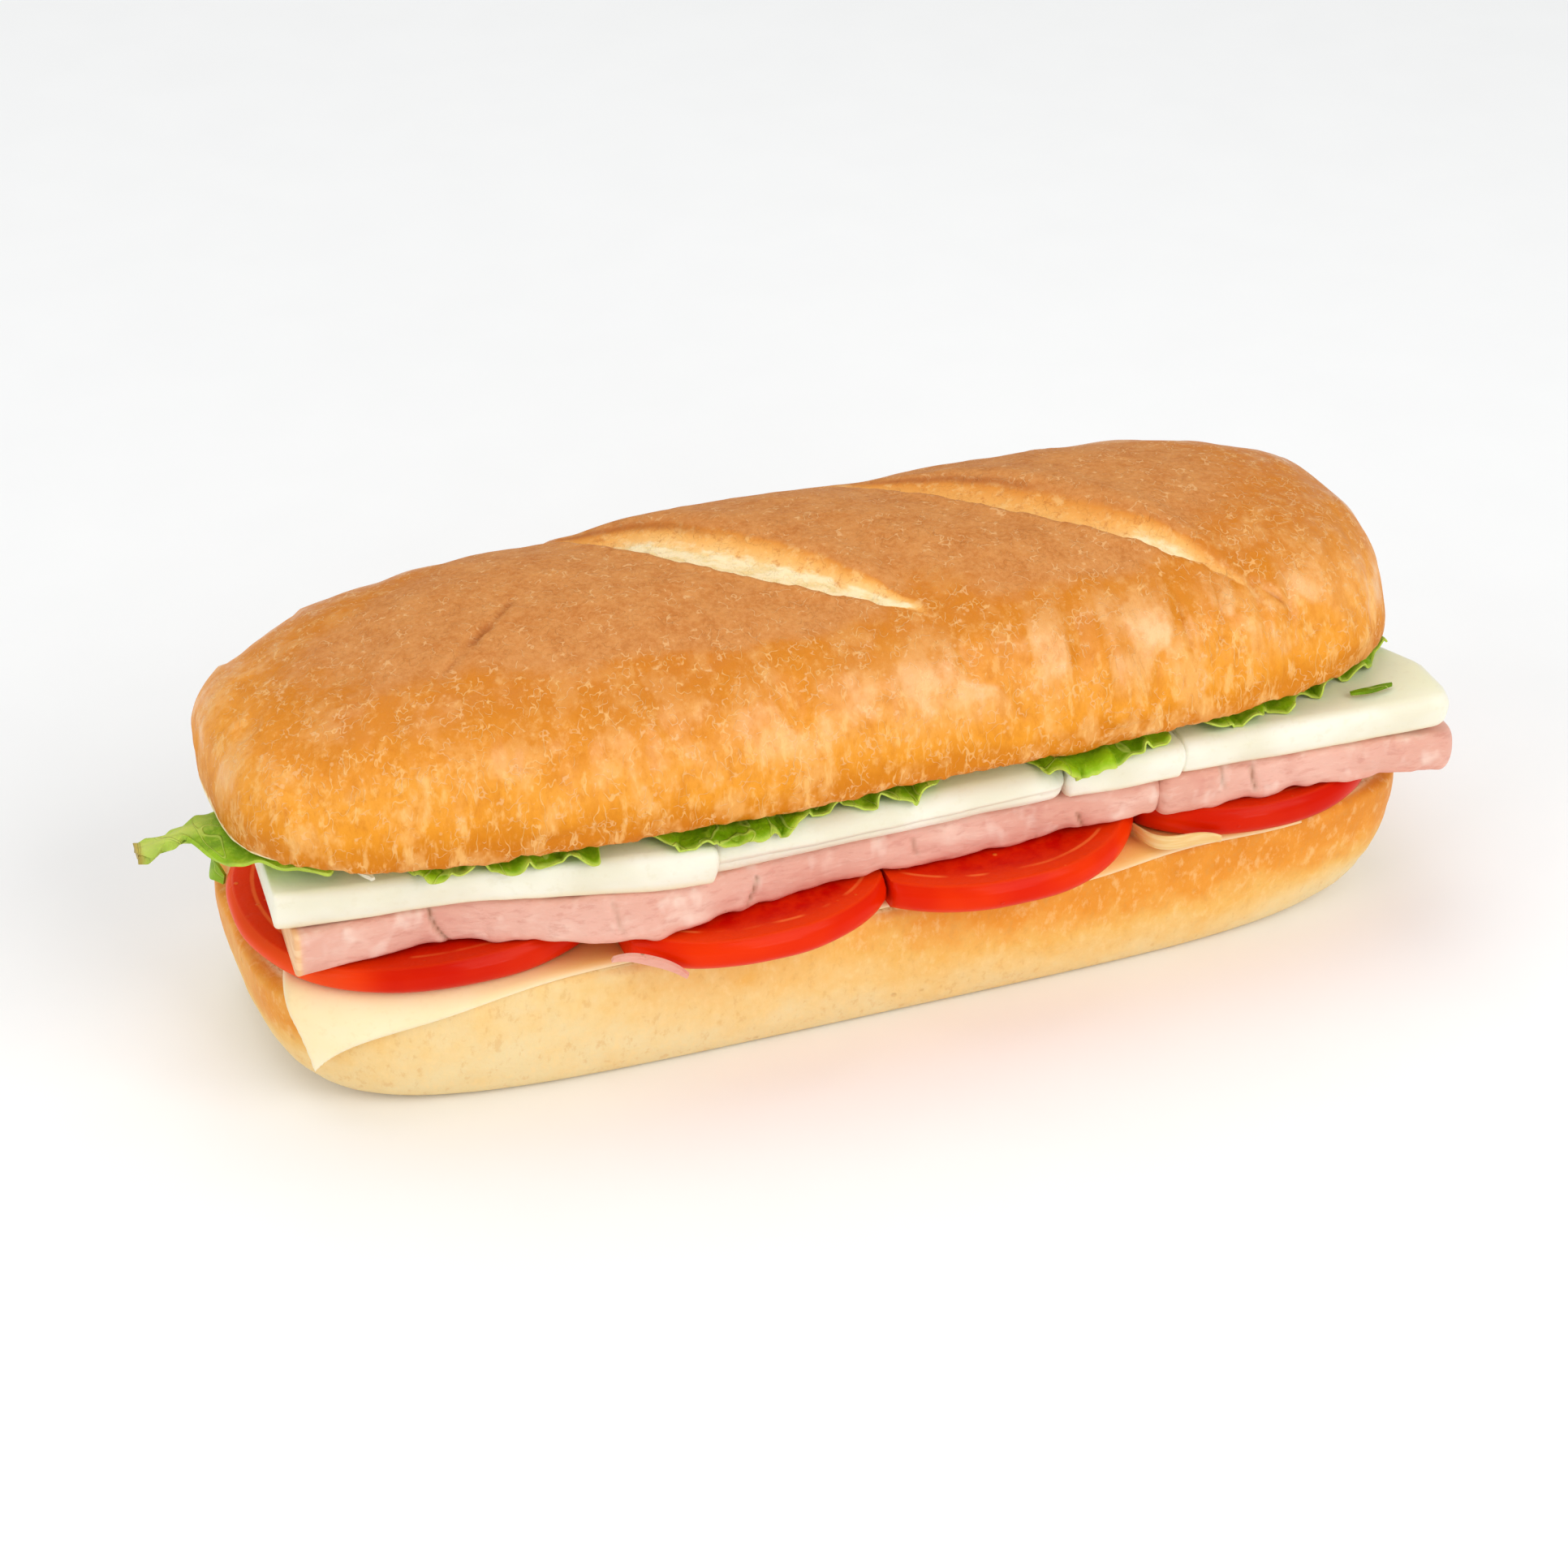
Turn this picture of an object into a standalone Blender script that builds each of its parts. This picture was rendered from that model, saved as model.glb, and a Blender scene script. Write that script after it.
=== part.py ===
"""Ham sandwich on a long soft roll, cut through from side to side and filled to both ends.

The origin is the middle of the flat base, +X runs along the roll, and +Z is up.
The filling shows most along the front, which faces -Y.
"""

import bmesh
import bpy
import numpy as np

# Driving sizes, in metres and, where the name says so, as a share or a power.
GAP = 0.0004

LOWER_HALF_LENGTH = 0.1212
LOWER_HALF_WIDTH = 0.0410
LOWER_HEIGHT = 0.0280
LOWER_BASE_SHARE = 0.83
LOWER_PLAN_POWER = 4.5
LOWER_SIDE_POWER = 2.3
LOWER_RIM_ROUND = 0.0022

UPPER_MIDDLE = (-0.0044, -0.0050)
UPPER_HALF_LENGTH = 0.1201
UPPER_HALF_WIDTH = 0.0424
UPPER_PLAN_POWER = 3.5
UPPER_LEFT_POWER = 2.75
UPPER_RIGHT_POWER = 3.6
UPPER_BASE = 0.0592
UPPER_WIDEST = 0.0036
UPPER_RISE = 0.0322
UPPER_RIM_TURN = np.radians(25.0)

YELLOW_THICK = 0.0016
TOMATO_THICK = 0.0062
HAM_THICK = 0.0096
WHITE_THICK = 0.0080
LEAF_THICK = 0.0008

YELLOW_LOW = LOWER_HEIGHT + GAP
TOMATO_LOW = YELLOW_LOW + YELLOW_THICK + GAP
HAM_LOW = TOMATO_LOW + TOMATO_THICK + GAP
WHITE_LOW = HAM_LOW + HAM_THICK + GAP
WHITE_TOP = WHITE_LOW + WHITE_THICK
LEAF_MIDDLE = 0.5 * (WHITE_TOP + UPPER_BASE)

# The two slashes across the top: start and end of the near edge, bow, width and depth.
SLASHES = (
    ((-0.052, 0.024), (0.006, -0.030), -0.0070, 0.0140, 0.0030),
    ((0.013, 0.018), (0.074, -0.0345), -0.0044, 0.0100, 0.0024),
)
SLASH_VALLEY_REACH = 0.014
SLASH_VALLEY_DEPTH = 0.0016
SLASH_LIP = 0.0009

# Each material: colour, roughness.
LOOKS = {
    "crust": ((0.70, 0.33, 0.08), 0.55),
    "yellow_cheese": ((0.92, 0.70, 0.38), 0.45),
    "tomato": ((0.70, 0.03, 0.01), 0.25),
    "ham": ((0.76, 0.40, 0.34), 0.45),
    "white_cheese": ((0.85, 0.80, 0.66), 0.40),
    "lettuce": ((0.28, 0.38, 0.03), 0.50),
    "onion": ((0.86, 0.66, 0.42), 0.35),
}


def clear_scene():
    for obj in list(bpy.data.objects):
        bpy.data.objects.remove(obj, do_unlink=True)


def material(slot):
    colour, roughness = LOOKS[slot]
    made = bpy.data.materials.get(slot) or bpy.data.materials.new(slot)
    made.use_nodes = True
    shader = made.node_tree.nodes["Principled BSDF"]
    shader.inputs["Base Color"].default_value = (*colour, 1.0)
    shader.inputs["Roughness"].default_value = roughness
    shader.inputs["Metallic"].default_value = 0.0
    return made


def add_solid(name, points, faces, slot, sharp_degrees=40.0):
    """One closed body from its points and faces, turned face outwards and shaded smooth."""
    mesh = bpy.data.meshes.new(name)
    mesh.from_pydata(points.tolist(), [], faces)
    work = bmesh.new()
    work.from_mesh(mesh)
    bmesh.ops.recalc_face_normals(work, faces=work.faces)
    work.to_mesh(mesh)
    work.free()
    mesh.shade_smooth()
    mesh.set_sharp_from_angle(angle=np.radians(sharp_degrees))
    mesh.materials.append(material(slot))
    obj = bpy.data.objects.new(name, mesh)
    bpy.context.scene.collection.objects.link(obj)
    return obj


def signed_power(value, power):
    return np.sign(value) * np.abs(value) ** power


def ramp(value, start, end):
    """A smooth step: 0 at start, 1 at end, flat beyond both."""
    share = np.clip((value - start) / (end - start), 0.0, 1.0)
    return share * share * (3.0 - 2.0 * share)


def bump(value, middle, reach):
    """A bell of height 1 round the middle."""
    return np.exp(-(((value - middle) / reach) ** 2))


def oval(half_length, half_width, power, count):
    """A superellipse outline, |x/a|^p + |y/b|^p = 1, with points evenly spaced along it."""
    angle = np.linspace(0.0, 2.0 * np.pi, 2001)
    x = half_length * signed_power(np.cos(angle), 2.0 / power)
    y = half_width * signed_power(np.sin(angle), 2.0 / power)
    along = np.concatenate([[0.0], np.cumsum(np.hypot(np.diff(x), np.diff(y)))])
    wanted = np.linspace(0.0, along[-1], count, endpoint=False)
    return np.stack([np.interp(wanted, along, x), np.interp(wanted, along, y)], axis=1)


def ring_faces(rings, points_each):
    """Triangles between closed rings, each ring joined to the next."""
    ring, point = np.meshgrid(np.arange(rings - 1), np.arange(points_each), indexing="ij")
    after = (point + 1) % points_each
    a = ring * points_each + point
    b = ring * points_each + after
    c = (ring + 1) * points_each + after
    d = (ring + 1) * points_each + point
    first = np.stack([a, b, c], axis=-1).reshape(-1, 3)
    second = np.stack([a, c, d], axis=-1).reshape(-1, 3)
    return np.concatenate([first, second]).tolist()


def add_loft(name, rings, slot, sharp_degrees=40.0):
    """A body through a stack of closed rings, with a flat face on its first and its last."""
    count, points_each = rings.shape[:2]
    faces = ring_faces(count, points_each)
    last = (count - 1) * points_each
    faces.append(list(range(points_each)))
    faces.append(list(range(last, last + points_each)))
    return add_solid(name, rings.reshape(-1, 3), faces, slot, sharp_degrees)


def add_sheet(name, middle, thick, slot):
    """A thin body on both sides of a grid of points, with both faces split into triangles alike."""
    along = np.gradient(middle, axis=0)
    across = np.gradient(middle, axis=1)
    normal = np.cross(along, across)
    normal /= np.linalg.norm(normal, axis=2, keepdims=True)
    half = 0.5 * np.broadcast_to(thick, middle.shape[:2])[..., None] * normal
    rows, columns = middle.shape[:2]
    size = rows * columns
    row, column = np.meshgrid(np.arange(rows - 1), np.arange(columns - 1), indexing="ij")
    a = row * columns + column
    corners = (a, a + columns, a + columns + 1, a + 1)
    upper = np.concatenate(
        [
            np.stack([corners[i] for i in pick], axis=-1).reshape(-1, 3)
            for pick in ((0, 1, 2), (0, 2, 3))
        ]
    )
    lower = upper[:, ::-1] + size
    edge = np.concatenate(
        [
            np.arange(columns - 1),
            np.arange(rows - 1) * columns + columns - 1,
            size - 1 - np.arange(columns - 1),
            (rows - 1 - np.arange(rows - 1)) * columns,
        ]
    )
    after = np.roll(edge, -1)
    rim = np.concatenate(
        [
            np.stack([edge, after, after + size], axis=1),
            np.stack([edge, after + size, edge + size], axis=1),
        ]
    )
    points = np.concatenate([(middle + half).reshape(-1, 3), (middle - half).reshape(-1, 3)])
    return add_solid(name, points, np.concatenate([upper, lower, rim]).tolist(), slot, 60.0)


def build_lower_roll():
    """Rings of one rounded outline that widen upwards from the flat base, then turn in at the rim."""
    outline = oval(LOWER_HALF_LENGTH, LOWER_HALF_WIDTH, LOWER_PLAN_POWER, 84)
    wall = LOWER_HEIGHT - LOWER_RIM_ROUND
    turn = np.radians([0.0, 14.0, 28.0, 44.0, 62.0, 90.0])
    share = LOWER_BASE_SHARE + (1.0 - LOWER_BASE_SHARE) * np.sin(turn) ** (2.0 / LOWER_SIDE_POWER)
    height = wall * (1.0 - np.cos(turn) ** (2.0 / LOWER_SIDE_POWER))
    rim = np.radians([45.0, 90.0])
    inset = LOWER_RIM_ROUND * (1.0 - np.cos(rim)) / LOWER_HALF_WIDTH
    share = np.concatenate([share, 1.0 - inset])
    height = np.concatenate([height, wall + LOWER_RIM_ROUND * np.sin(rim)])
    x = outline[None, :, 0] * share[:, None]
    y = outline[None, :, 1] * share[:, None]
    swell = 1.0 + 0.006 * np.sin(x / 0.021 + 0.8) * np.sin(np.pi * height / LOWER_HEIGHT)[:, None]
    rings = np.stack([x, y * swell, np.broadcast_to(height[:, None], x.shape)], axis=-1)
    add_loft("bread_lower", rings, "crust")


def slash_relief(x, y):
    """How far the crust is sunk at a plan point: a broad valley and a cut along each slash.

    The cut drops at its near edge, a bowed line, climbs back over its width and narrows to the front.
    Its far side stands up as a low lip.
    """
    sunk = np.zeros(np.broadcast(x, y).shape)
    for start, end, bow, band, depth in SLASHES:
        run = np.subtract(end, start)
        length = np.hypot(*run)
        run = run / length
        along = ((x - start[0]) * run[0] + (y - start[1]) * run[1]) / length
        beside = (y - start[1]) * run[0] - (x - start[0]) * run[1]
        edge = beside - bow * 4.0 * np.clip(along, 0.0, 1.0) * (1.0 - np.clip(along, 0.0, 1.0))
        open_share = ramp(along, -0.05, 0.20) * (1.0 - ramp(along, 0.80, 1.04))
        fade = ramp(along, -0.20, 0.10) * (1.0 - ramp(along, 0.95, 1.15))
        narrowing = np.maximum(1.0 - np.clip((along - 0.45) / 0.57, 0.0, 1.0) ** 1.2, 0.15)
        width = band * (0.3 + 0.7 * ramp(along, -0.05, 0.35)) * narrowing
        sunk = sunk + SLASH_VALLEY_DEPTH * fade * bump(edge, 0.4 * width, SLASH_VALLEY_REACH)
        drop = ramp(edge, -0.0008, 0.0012) * (1.0 - ramp(edge, 0.2 * width, 1.1 * width))
        sunk = sunk + depth * open_share * drop
        sunk = sunk - SLASH_LIP * open_share * bump(edge, 1.15 * width, 0.35 * width)
    return sunk


def upper_surface(share, turn):
    """The dome of the upper roll: a section of superellipse arcs, lofted along the roll.

    share runs from -1 to 1 along the roll, and turn goes round the section from the front rim,
    over the top, to the back rim. Below the widest line the wall turns in to the flat cut.
    """
    plan = (1.0 - np.abs(share) ** UPPER_PLAN_POWER) ** (1.0 / UPPER_PLAN_POWER)
    power = np.where(share < 0.0, UPPER_LEFT_POWER, UPPER_RIGHT_POWER)
    rise = UPPER_RISE * (1.0 - np.abs(share) ** power) ** (1.0 / power)
    drop = UPPER_WIDEST * (1.0 - share**8) ** 0.125
    side, lift = np.cos(turn), np.sin(turn)
    under = np.clip(-lift / np.sin(UPPER_RIM_TURN), 0.0, 1.0)
    x = UPPER_HALF_LENGTH * share + 0.0 * turn
    y = -UPPER_HALF_WIDTH * plan * signed_power(side, 0.85)
    above = rise * np.clip(lift, 0.0, 1.0) ** 0.92
    z = UPPER_BASE + UPPER_WIDEST + above - drop * np.sin(0.5 * np.pi * under) ** 0.9
    slope = np.stack([0.0 * x, y / UPPER_HALF_WIDTH**2, above / UPPER_RISE**2], axis=-1)
    slope /= np.linalg.norm(slope, axis=-1, keepdims=True) + 1e-9
    x = x + UPPER_MIDDLE[0]
    y = y + UPPER_MIDDLE[1]
    sunk = slash_relief(x, y) * ramp(above, 0.002, 0.018)
    return np.stack([x, y, z], axis=-1) - sunk[..., None] * slope


def build_upper_roll():
    """Sections along the roll, closer together at both ends, and a single point at each tip."""
    share = np.sin(np.linspace(-0.5 * np.pi, 0.5 * np.pi, 62))[1:-1]
    spread = np.linspace(-1.0, 1.0, 60)
    share = 0.55 * share + 0.45 * spread * np.max(share)
    over = np.linspace(0.0, np.pi, 25)
    rim = np.array([UPPER_RIM_TURN, 0.5 * UPPER_RIM_TURN])
    turn = np.concatenate([-rim, over, np.pi + rim[::-1]])
    rings = upper_surface(share[:, None], turn[None, :])
    count, points_each = rings.shape[:2]
    tip_height = UPPER_BASE + UPPER_WIDEST
    tips = np.array(
        [
            [UPPER_MIDDLE[0] - UPPER_HALF_LENGTH, UPPER_MIDDLE[1], tip_height],
            [UPPER_MIDDLE[0] + UPPER_HALF_LENGTH, UPPER_MIDDLE[1], tip_height],
        ]
    )
    faces = ring_faces(count, points_each)
    first = np.arange(points_each)
    after = np.roll(first, -1)
    last = (count - 1) * points_each
    tip = count * points_each
    faces += np.stack([after, first, np.full_like(first, tip)], axis=1).tolist()
    faces += np.stack([first + last, after + last, np.full_like(first, tip + 1)], axis=1).tolist()
    add_solid("bread_upper", np.concatenate([rings.reshape(-1, 3), tips]), faces, "crust")


def over_rim(plan, outline, bend, level):
    """Lays a flat sheet over an outline: what reaches past it turns down on an arc and then hangs.

    plan is the sheet spread flat. A point keeps its distance from the nearest point of the outline.
    """
    offset = plan[:, :, None, :] - outline[None, None, :, :]
    distance = np.linalg.norm(offset, axis=-1)
    nearest = np.argmin(distance, axis=-1)
    foot = outline[nearest]
    reach = np.min(distance, axis=-1)
    before = outline[nearest - 1]
    after = outline[(nearest + 1) % len(outline)]
    tangent = (after - before) / np.linalg.norm(after - before, axis=-1, keepdims=True)
    outward = np.stack([tangent[..., 1], -tangent[..., 0]], axis=-1)
    signed = np.where(np.sum((plan - foot) * outward, axis=-1) > 0.0, reach, 0.0)
    turn = np.minimum(signed / bend, 0.5 * np.pi)
    rest = signed - bend * turn
    out = bend * np.sin(turn)
    down = bend * (1.0 - np.cos(turn)) + rest
    placed = np.where(signed[..., None] > 0.0, foot + outward * out[..., None], plan)
    return np.concatenate([placed, (level - down)[..., None]], axis=-1)


def patch(corners, back, along):
    """A grid between four plan corners: front left, front right, back right, back left."""
    along = along[None, :, None]
    back = back[:, None, None]
    corner = np.array(corners)
    front_edge = corner[0] + (corner[1] - corner[0]) * along
    back_edge = corner[3] + (corner[2] - corner[3]) * along
    return front_edge + (back_edge - front_edge) * back


# Each slice: its plan corners as patch takes them, spread flat, and the share of it with a fine grid.
YELLOW_SLICES = (
    (
        "yellow_cheese_1",
        ((-0.1227, -0.0435), (-0.0480, -0.0400), (-0.0465, 0.0320), (-0.1030, 0.0270)),
        (0.46, 13),
    ),
    (
        "yellow_cheese_2",
        ((-0.0455, -0.0402), (0.0310, -0.0406), (0.0315, 0.0370), (-0.0450, 0.0370)),
        (0.0, 1),
    ),
    (
        "yellow_cheese_3",
        ((0.0325, -0.0436), (0.1040, -0.0385), (0.1030, 0.0300), (0.0330, 0.0370)),
        (0.0, 1),
    ),
)
YELLOW_SET_BACK = 0.0032
YELLOW_BEND = YELLOW_SET_BACK + 0.0022

# Rows from the front edge to the back one, as shares: close together over the bend, then far apart.
YELLOW_ROWS = np.concatenate(
    [np.linspace(0.0, 0.14, 6), np.linspace(0.18, 0.26, 3), [0.31, 0.36, 0.42, 0.5, 1.0]]
)


def build_yellow_cheese():
    """Thin slices on the lower roll. What reaches past the rim hangs down its side."""
    half_length = LOWER_HALF_LENGTH - YELLOW_SET_BACK
    half_width = LOWER_HALF_WIDTH - YELLOW_SET_BACK
    outline = oval(half_length, half_width, LOWER_PLAN_POWER, 600)
    level = YELLOW_LOW + 0.5 * YELLOW_THICK
    for name, corners, (fine_share, fine_count) in YELLOW_SLICES:
        fine = np.linspace(0.0, fine_share, fine_count)
        along = np.concatenate([fine, np.linspace(fine_share, 1.0, 6)[1:]])
        middle = over_rim(patch(corners, YELLOW_ROWS, along), outline, YELLOW_BEND, level)
        add_sheet(name, middle, YELLOW_THICK, "yellow_cheese")


# Each tomato slice: middle, half length, half width, and where its neighbours cut it off.
TOMATOES = (
    ("tomato_1", (-0.0840, -0.0050), 0.0380, 0.0360, (-0.200, -0.0548)),
    ("tomato_2", (-0.0285, -0.0185), 0.0348, 0.0348, (-0.0542, -0.0014)),
    ("tomato_3", (0.0230, -0.0165), 0.0356, 0.0356, (-0.0008, 0.0557)),
    ("tomato_4", (0.0814, -0.0130), 0.0320, 0.0316, (0.0563, 0.200)),
)
TOMATO_POWER = 2.2
TOMATO_SKIN = 0.0016


def build_tomatoes():
    """Round slices with a bulging skin. Where two meet, both end at a straight line."""
    level = np.array([0.0, 0.22, 0.5, 0.78, 1.0])
    inset = TOMATO_SKIN * (2.0 * level - 1.0) ** 2
    for name, middle, half_length, half_width, cut in TOMATOES:
        outline = oval(half_length, half_width, TOMATO_POWER, 44)
        outward = outline / np.linalg.norm(outline, axis=1, keepdims=True)
        rings = []
        for step, pull in zip(level, inset):
            flat = outline - outward * pull + middle
            x = np.clip(flat[:, 0], *cut)
            z = np.full(len(flat), TOMATO_LOW + TOMATO_THICK * step)
            rings.append(np.stack([x, flat[:, 1], z], axis=1))
        add_loft(name, np.array(rings), "tomato", 30.0)


def slab(x, front_low, front_high, back, low, high, rounding, end_round):
    """Rounded oblong sections along x. Near both ends the section shrinks, so the ends are round."""
    inset = np.zeros_like(x)
    for reach in (x - x[0], x[-1] - x):
        near = np.clip(end_round - reach, 0.0, end_round)
        inset = np.maximum(inset, end_round - np.sqrt(end_round**2 - near**2))
    inset = np.minimum(inset, 0.6 * end_round)
    rounding = np.minimum(rounding, 0.45 * (high - low) - 0.8 * inset)
    arc = np.radians([0.0, 45.0, 90.0])
    sides = (
        (front_high + inset, high - inset, 1.0, -1.0, arc),
        (back - inset, high - inset, -1.0, -1.0, arc[::-1]),
        (back - inset, low + inset, -1.0, 1.0, arc),
        (front_low + inset, low + inset, 1.0, 1.0, arc[::-1]),
    )
    rows = []
    for y_edge, z_edge, y_in, z_in, angles in sides:
        for angle in angles:
            y = y_edge + y_in * rounding * (1.0 - np.cos(angle))
            z = z_edge + z_in * rounding * (1.0 - np.sin(angle))
            rows.append(np.stack([x, y, z], axis=1))
    return np.stack(rows, axis=1)


def stations(start, end, end_round, count):
    """Places along x: evenly spaced, with three more in the round of each end."""
    lead = end_round * np.array([0.0, 0.12, 0.45])
    middle = np.linspace(start + end_round, end - end_round, count)
    return np.concatenate([start + lead, middle, (end - lead)[::-1]])


def lean_left_end(rings, lean):
    """Slants the left end of a slab: its back corner moves in, and the right end stays square."""
    x, y = rings[..., 0], rings[..., 1]
    share = (np.max(x) - x) / (np.max(x) - np.min(x))
    moved = rings.copy()
    moved[..., 0] = x + lean * share * (y - np.min(y))
    return moved


# The ham: where its two folds meet, its front edge, and how far that moves at three places.
HAM_JOIN = 0.0575
HAM_FRONT = -0.0410
HAM_LEFT_SET_BACK = 0.0070
HAM_MIDDLE_BULGE = 0.0028
HAM_RIGHT_REACH = 0.0030
HAM_FOOT_REACH = 0.0045
HAM_BACK = 0.0420
HAM_ROUNDING = 0.0020


def ham_front(x):
    """The front edge of the ham, which bulges over the first gap between the tomatoes."""
    left = HAM_LEFT_SET_BACK * ramp(x, -0.060, -0.092)
    bulge = HAM_MIDDLE_BULGE * bump(x, -0.046, 0.018)
    return HAM_FRONT + left - bulge - HAM_RIGHT_REACH * ramp(x, 0.070, 0.118)


def ham_foot(x):
    """How much further the low edge of the ham reaches out than its top edge."""
    return HAM_FOOT_REACH * bump(x, -0.052, 0.013) - 0.0008


def seam(x):
    """The slight wave of the joint between ham and white cheese."""
    return 0.0004 * np.sin(x / 0.023 + 0.5)


def build_ham():
    """Two thick folds of ham, end to end, each with its round folded edge to the front."""
    for name, start, end, end_round, count in (
        ("ham_1", -0.1178, HAM_JOIN - GAP, 0.0016, 20),
        ("ham_2", HAM_JOIN + GAP, 0.1210, 0.0036, 8),
    ):
        x = stations(start, end, end_round, count)
        front = ham_front(x)
        back = HAM_BACK + 0.0015 * np.sin(x / 0.017)
        low = np.full_like(x, HAM_LOW)
        high = HAM_LOW + HAM_THICK + seam(x)
        rings = slab(x, front - ham_foot(x), front, back, low, high, HAM_ROUNDING, end_round)
        add_loft(name, lean_left_end(rings, 0.08 * (start < 0.0)), "ham")


# Each slice of white cheese: ends, front edge at both ends, edge rounding, end rounding, stations.
# The first one lies aslant, so its back corner moves in by a share of its width.
WHITE_SLICES = (
    ("white_cheese_1", -0.1206, -0.0380, -0.0310, -0.0475, 0.0016, 0.0012, 9),
    ("white_cheese_2", -0.0372, 0.0352, -0.0448, -0.0452, 0.0034, 0.0030, 8),
    ("white_cheese_3", 0.0360, 0.0600, -0.0440, -0.0445, 0.0018, 0.0010, 4),
    ("white_cheese_4", 0.0608, 0.1185, -0.0436, -0.0455, 0.0024, 0.0028, 7),
)
WHITE_BACK = 0.0425
WHITE_LEAN = 0.17


def build_white_cheese():
    """Four thick folded slices, end to end. The first lies aslant and stands further out."""
    for name, start, end, front_start, front_end, rounding, end_round, count in WHITE_SLICES:
        x = stations(start, end, end_round, count)
        front = front_start + (front_end - front_start) * (x - start) / (end - start)
        back = WHITE_BACK + 0.0012 * np.sin(x / 0.013 + 1.0)
        low = WHITE_LOW + seam(x)
        high = np.full_like(x, WHITE_TOP)
        rings = slab(x, front + 0.0006, front, back, low, high, rounding, end_round)
        lean = WHITE_LEAN * (name == "white_cheese_1")
        add_loft(name, lean_left_end(rings, lean), "white_cheese")


def white_front(x):
    """The front edge of the white cheese, read off its slices."""
    edge = np.full_like(x, WHITE_SLICES[0][3])
    for _, start, end, front_start, front_end, *_ in WHITE_SLICES:
        share = np.clip((x - start) / (end - start), 0.0, 1.0)
        edge = np.where(x >= start, front_start + (front_end - front_start) * share, edge)
    return edge


# Each leaf: ends, where its front edge lies at both ends, how far that swings, frills, rows.
# A leaf is cut up along its length into rows, and from front to back at the columns.
LEAVES = (
    ("lettuce_2", -0.0970, -0.0570, -0.0400, -0.0440, 0.0022, 5.0, 19),
    ("lettuce_3", -0.0550, 0.0110, -0.0500, -0.0440, 0.0038, 3.4, 25),
    ("lettuce_4", 0.0270, 0.0585, -0.0478, -0.0480, 0.0032, 1.6, 15),
    ("lettuce_5", 0.0625, 0.1130, -0.0430, -0.0290, 0.0024, 4.6, 21),
)
LEAF_BEND = 0.0030
LEAF_BACK = 0.0440
LEAF_COLUMNS = np.array([0.0, 0.03, 0.07, 0.12, 0.2, 0.5, 0.86, 0.93, 1.0])


def build_leaf(name, start, end, reach_start, reach_end, swing, frills, rows):
    """A thin leaf from front to back. Its edges wave, and they turn down where they pass the cheese."""
    share = np.linspace(0.0, 1.0, rows)[:, None]
    across = LEAF_COLUMNS[None, :]
    x = start + (end - start) * share + 0.0 * across
    phase = 2.0 * np.pi * frills * share
    taper = np.sin(np.pi * np.clip(share, 0.02, 0.98)) ** 0.35
    reach = reach_start + (reach_end - reach_start) * share
    front = reach * (0.86 + 0.14 * taper) + swing * np.sin(phase + 0.9)
    back = LEAF_BACK - 0.003 + 0.0024 * np.sin(1.3 * phase)
    spread = front + (back - front) * across
    edge = white_front(x) - 0.0008
    past = np.clip(edge - spread, 0.0, 0.02)
    turn = np.minimum(past / LEAF_BEND, 0.5 * np.pi)
    rest = past - LEAF_BEND * turn
    y = np.where(past > 0.0, edge - LEAF_BEND * np.sin(turn), spread)
    near = np.clip(1.0 - across / 0.12, 0.0, 1.0) + 0.8 * np.clip((across - 0.86) / 0.14, 0.0, 1.0)
    frill = 0.0006 * near * np.sin(2.0 * phase)
    z = LEAF_MIDDLE + frill - LEAF_BEND * (1.0 - np.cos(turn)) - rest
    add_sheet(name, np.stack([x, y, z], axis=-1), LEAF_THICK, "lettuce")


# The leaf at the left end: the tip of its rib, the far end of its rib, and both half widths there.
RIB_TIP = (-0.1400, -0.0090)
RIB_END = (-0.1010, -0.0060)
BLADE_FRONT = 0.0270
BLADE_BACK = 0.0200
RIB_HALF_WIDTH = 0.0034
RIB_THICK = 0.0024


def build_end_leaf():
    """A thick rib that sticks out of the left end, with a thin blade that widens from it."""
    share = np.linspace(0.0, 1.0, 15)[:, None]
    across = np.array([-1.0, -0.8, -0.55, -0.3, -0.15, 0.0, 0.15, 0.3, 0.6, 1.0])[None, :]
    x = RIB_TIP[0] + (RIB_END[0] - RIB_TIP[0]) * share
    y = RIB_TIP[1] + (RIB_END[1] - RIB_TIP[1]) * share
    widen = ramp(share, 0.18, 0.72)
    half = RIB_HALF_WIDTH + np.where(across < 0.0, BLADE_FRONT, BLADE_BACK) * widen
    inside = ramp(share, 0.20, 0.45)
    wave = 0.0006 * np.sin(18.0 * share + 2.0 * across) * np.abs(across) * (1.0 - 0.5 * inside)
    droop = 0.0030 * (1.0 - ramp(x, -0.1400, -0.1235)) * np.ones_like(across)
    z = LEAF_MIDDLE - droop + wave
    middle = np.stack([x + 0.0015 * widen * np.abs(across), y + half * across, z], axis=-1)
    rib = np.clip(1.0 - np.abs(half * across) / (1.3 * RIB_HALF_WIDTH), 0.0, 1.0) ** 0.5
    thick = LEAF_THICK + (RIB_THICK - LEAF_THICK) * rib * (1.0 - 0.55 * inside)
    add_sheet("lettuce_1", middle, thick, "lettuce")


def build_strip(name, route, width_run, half_width, thick, slot, rows=8):
    """A narrow strip along a smooth route through three points, with its width along width_run."""
    share = np.linspace(0.0, 1.0, rows)[:, None]
    first, middle, last = (np.array(point) for point in route)
    line = (1.0 - share) ** 2 * first + 2.0 * share * (1.0 - share) * middle + share**2 * last
    across = np.array([-1.0, 0.0, 1.0])[None, :, None]
    taper = (1.0 - 0.55 * np.abs(2.0 * share - 1.0) ** 2)[:, None, :]
    spread = half_width * taper * across * np.array(width_run)
    add_sheet(name, line[:, None, :] + spread, thick, slot)


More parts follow.
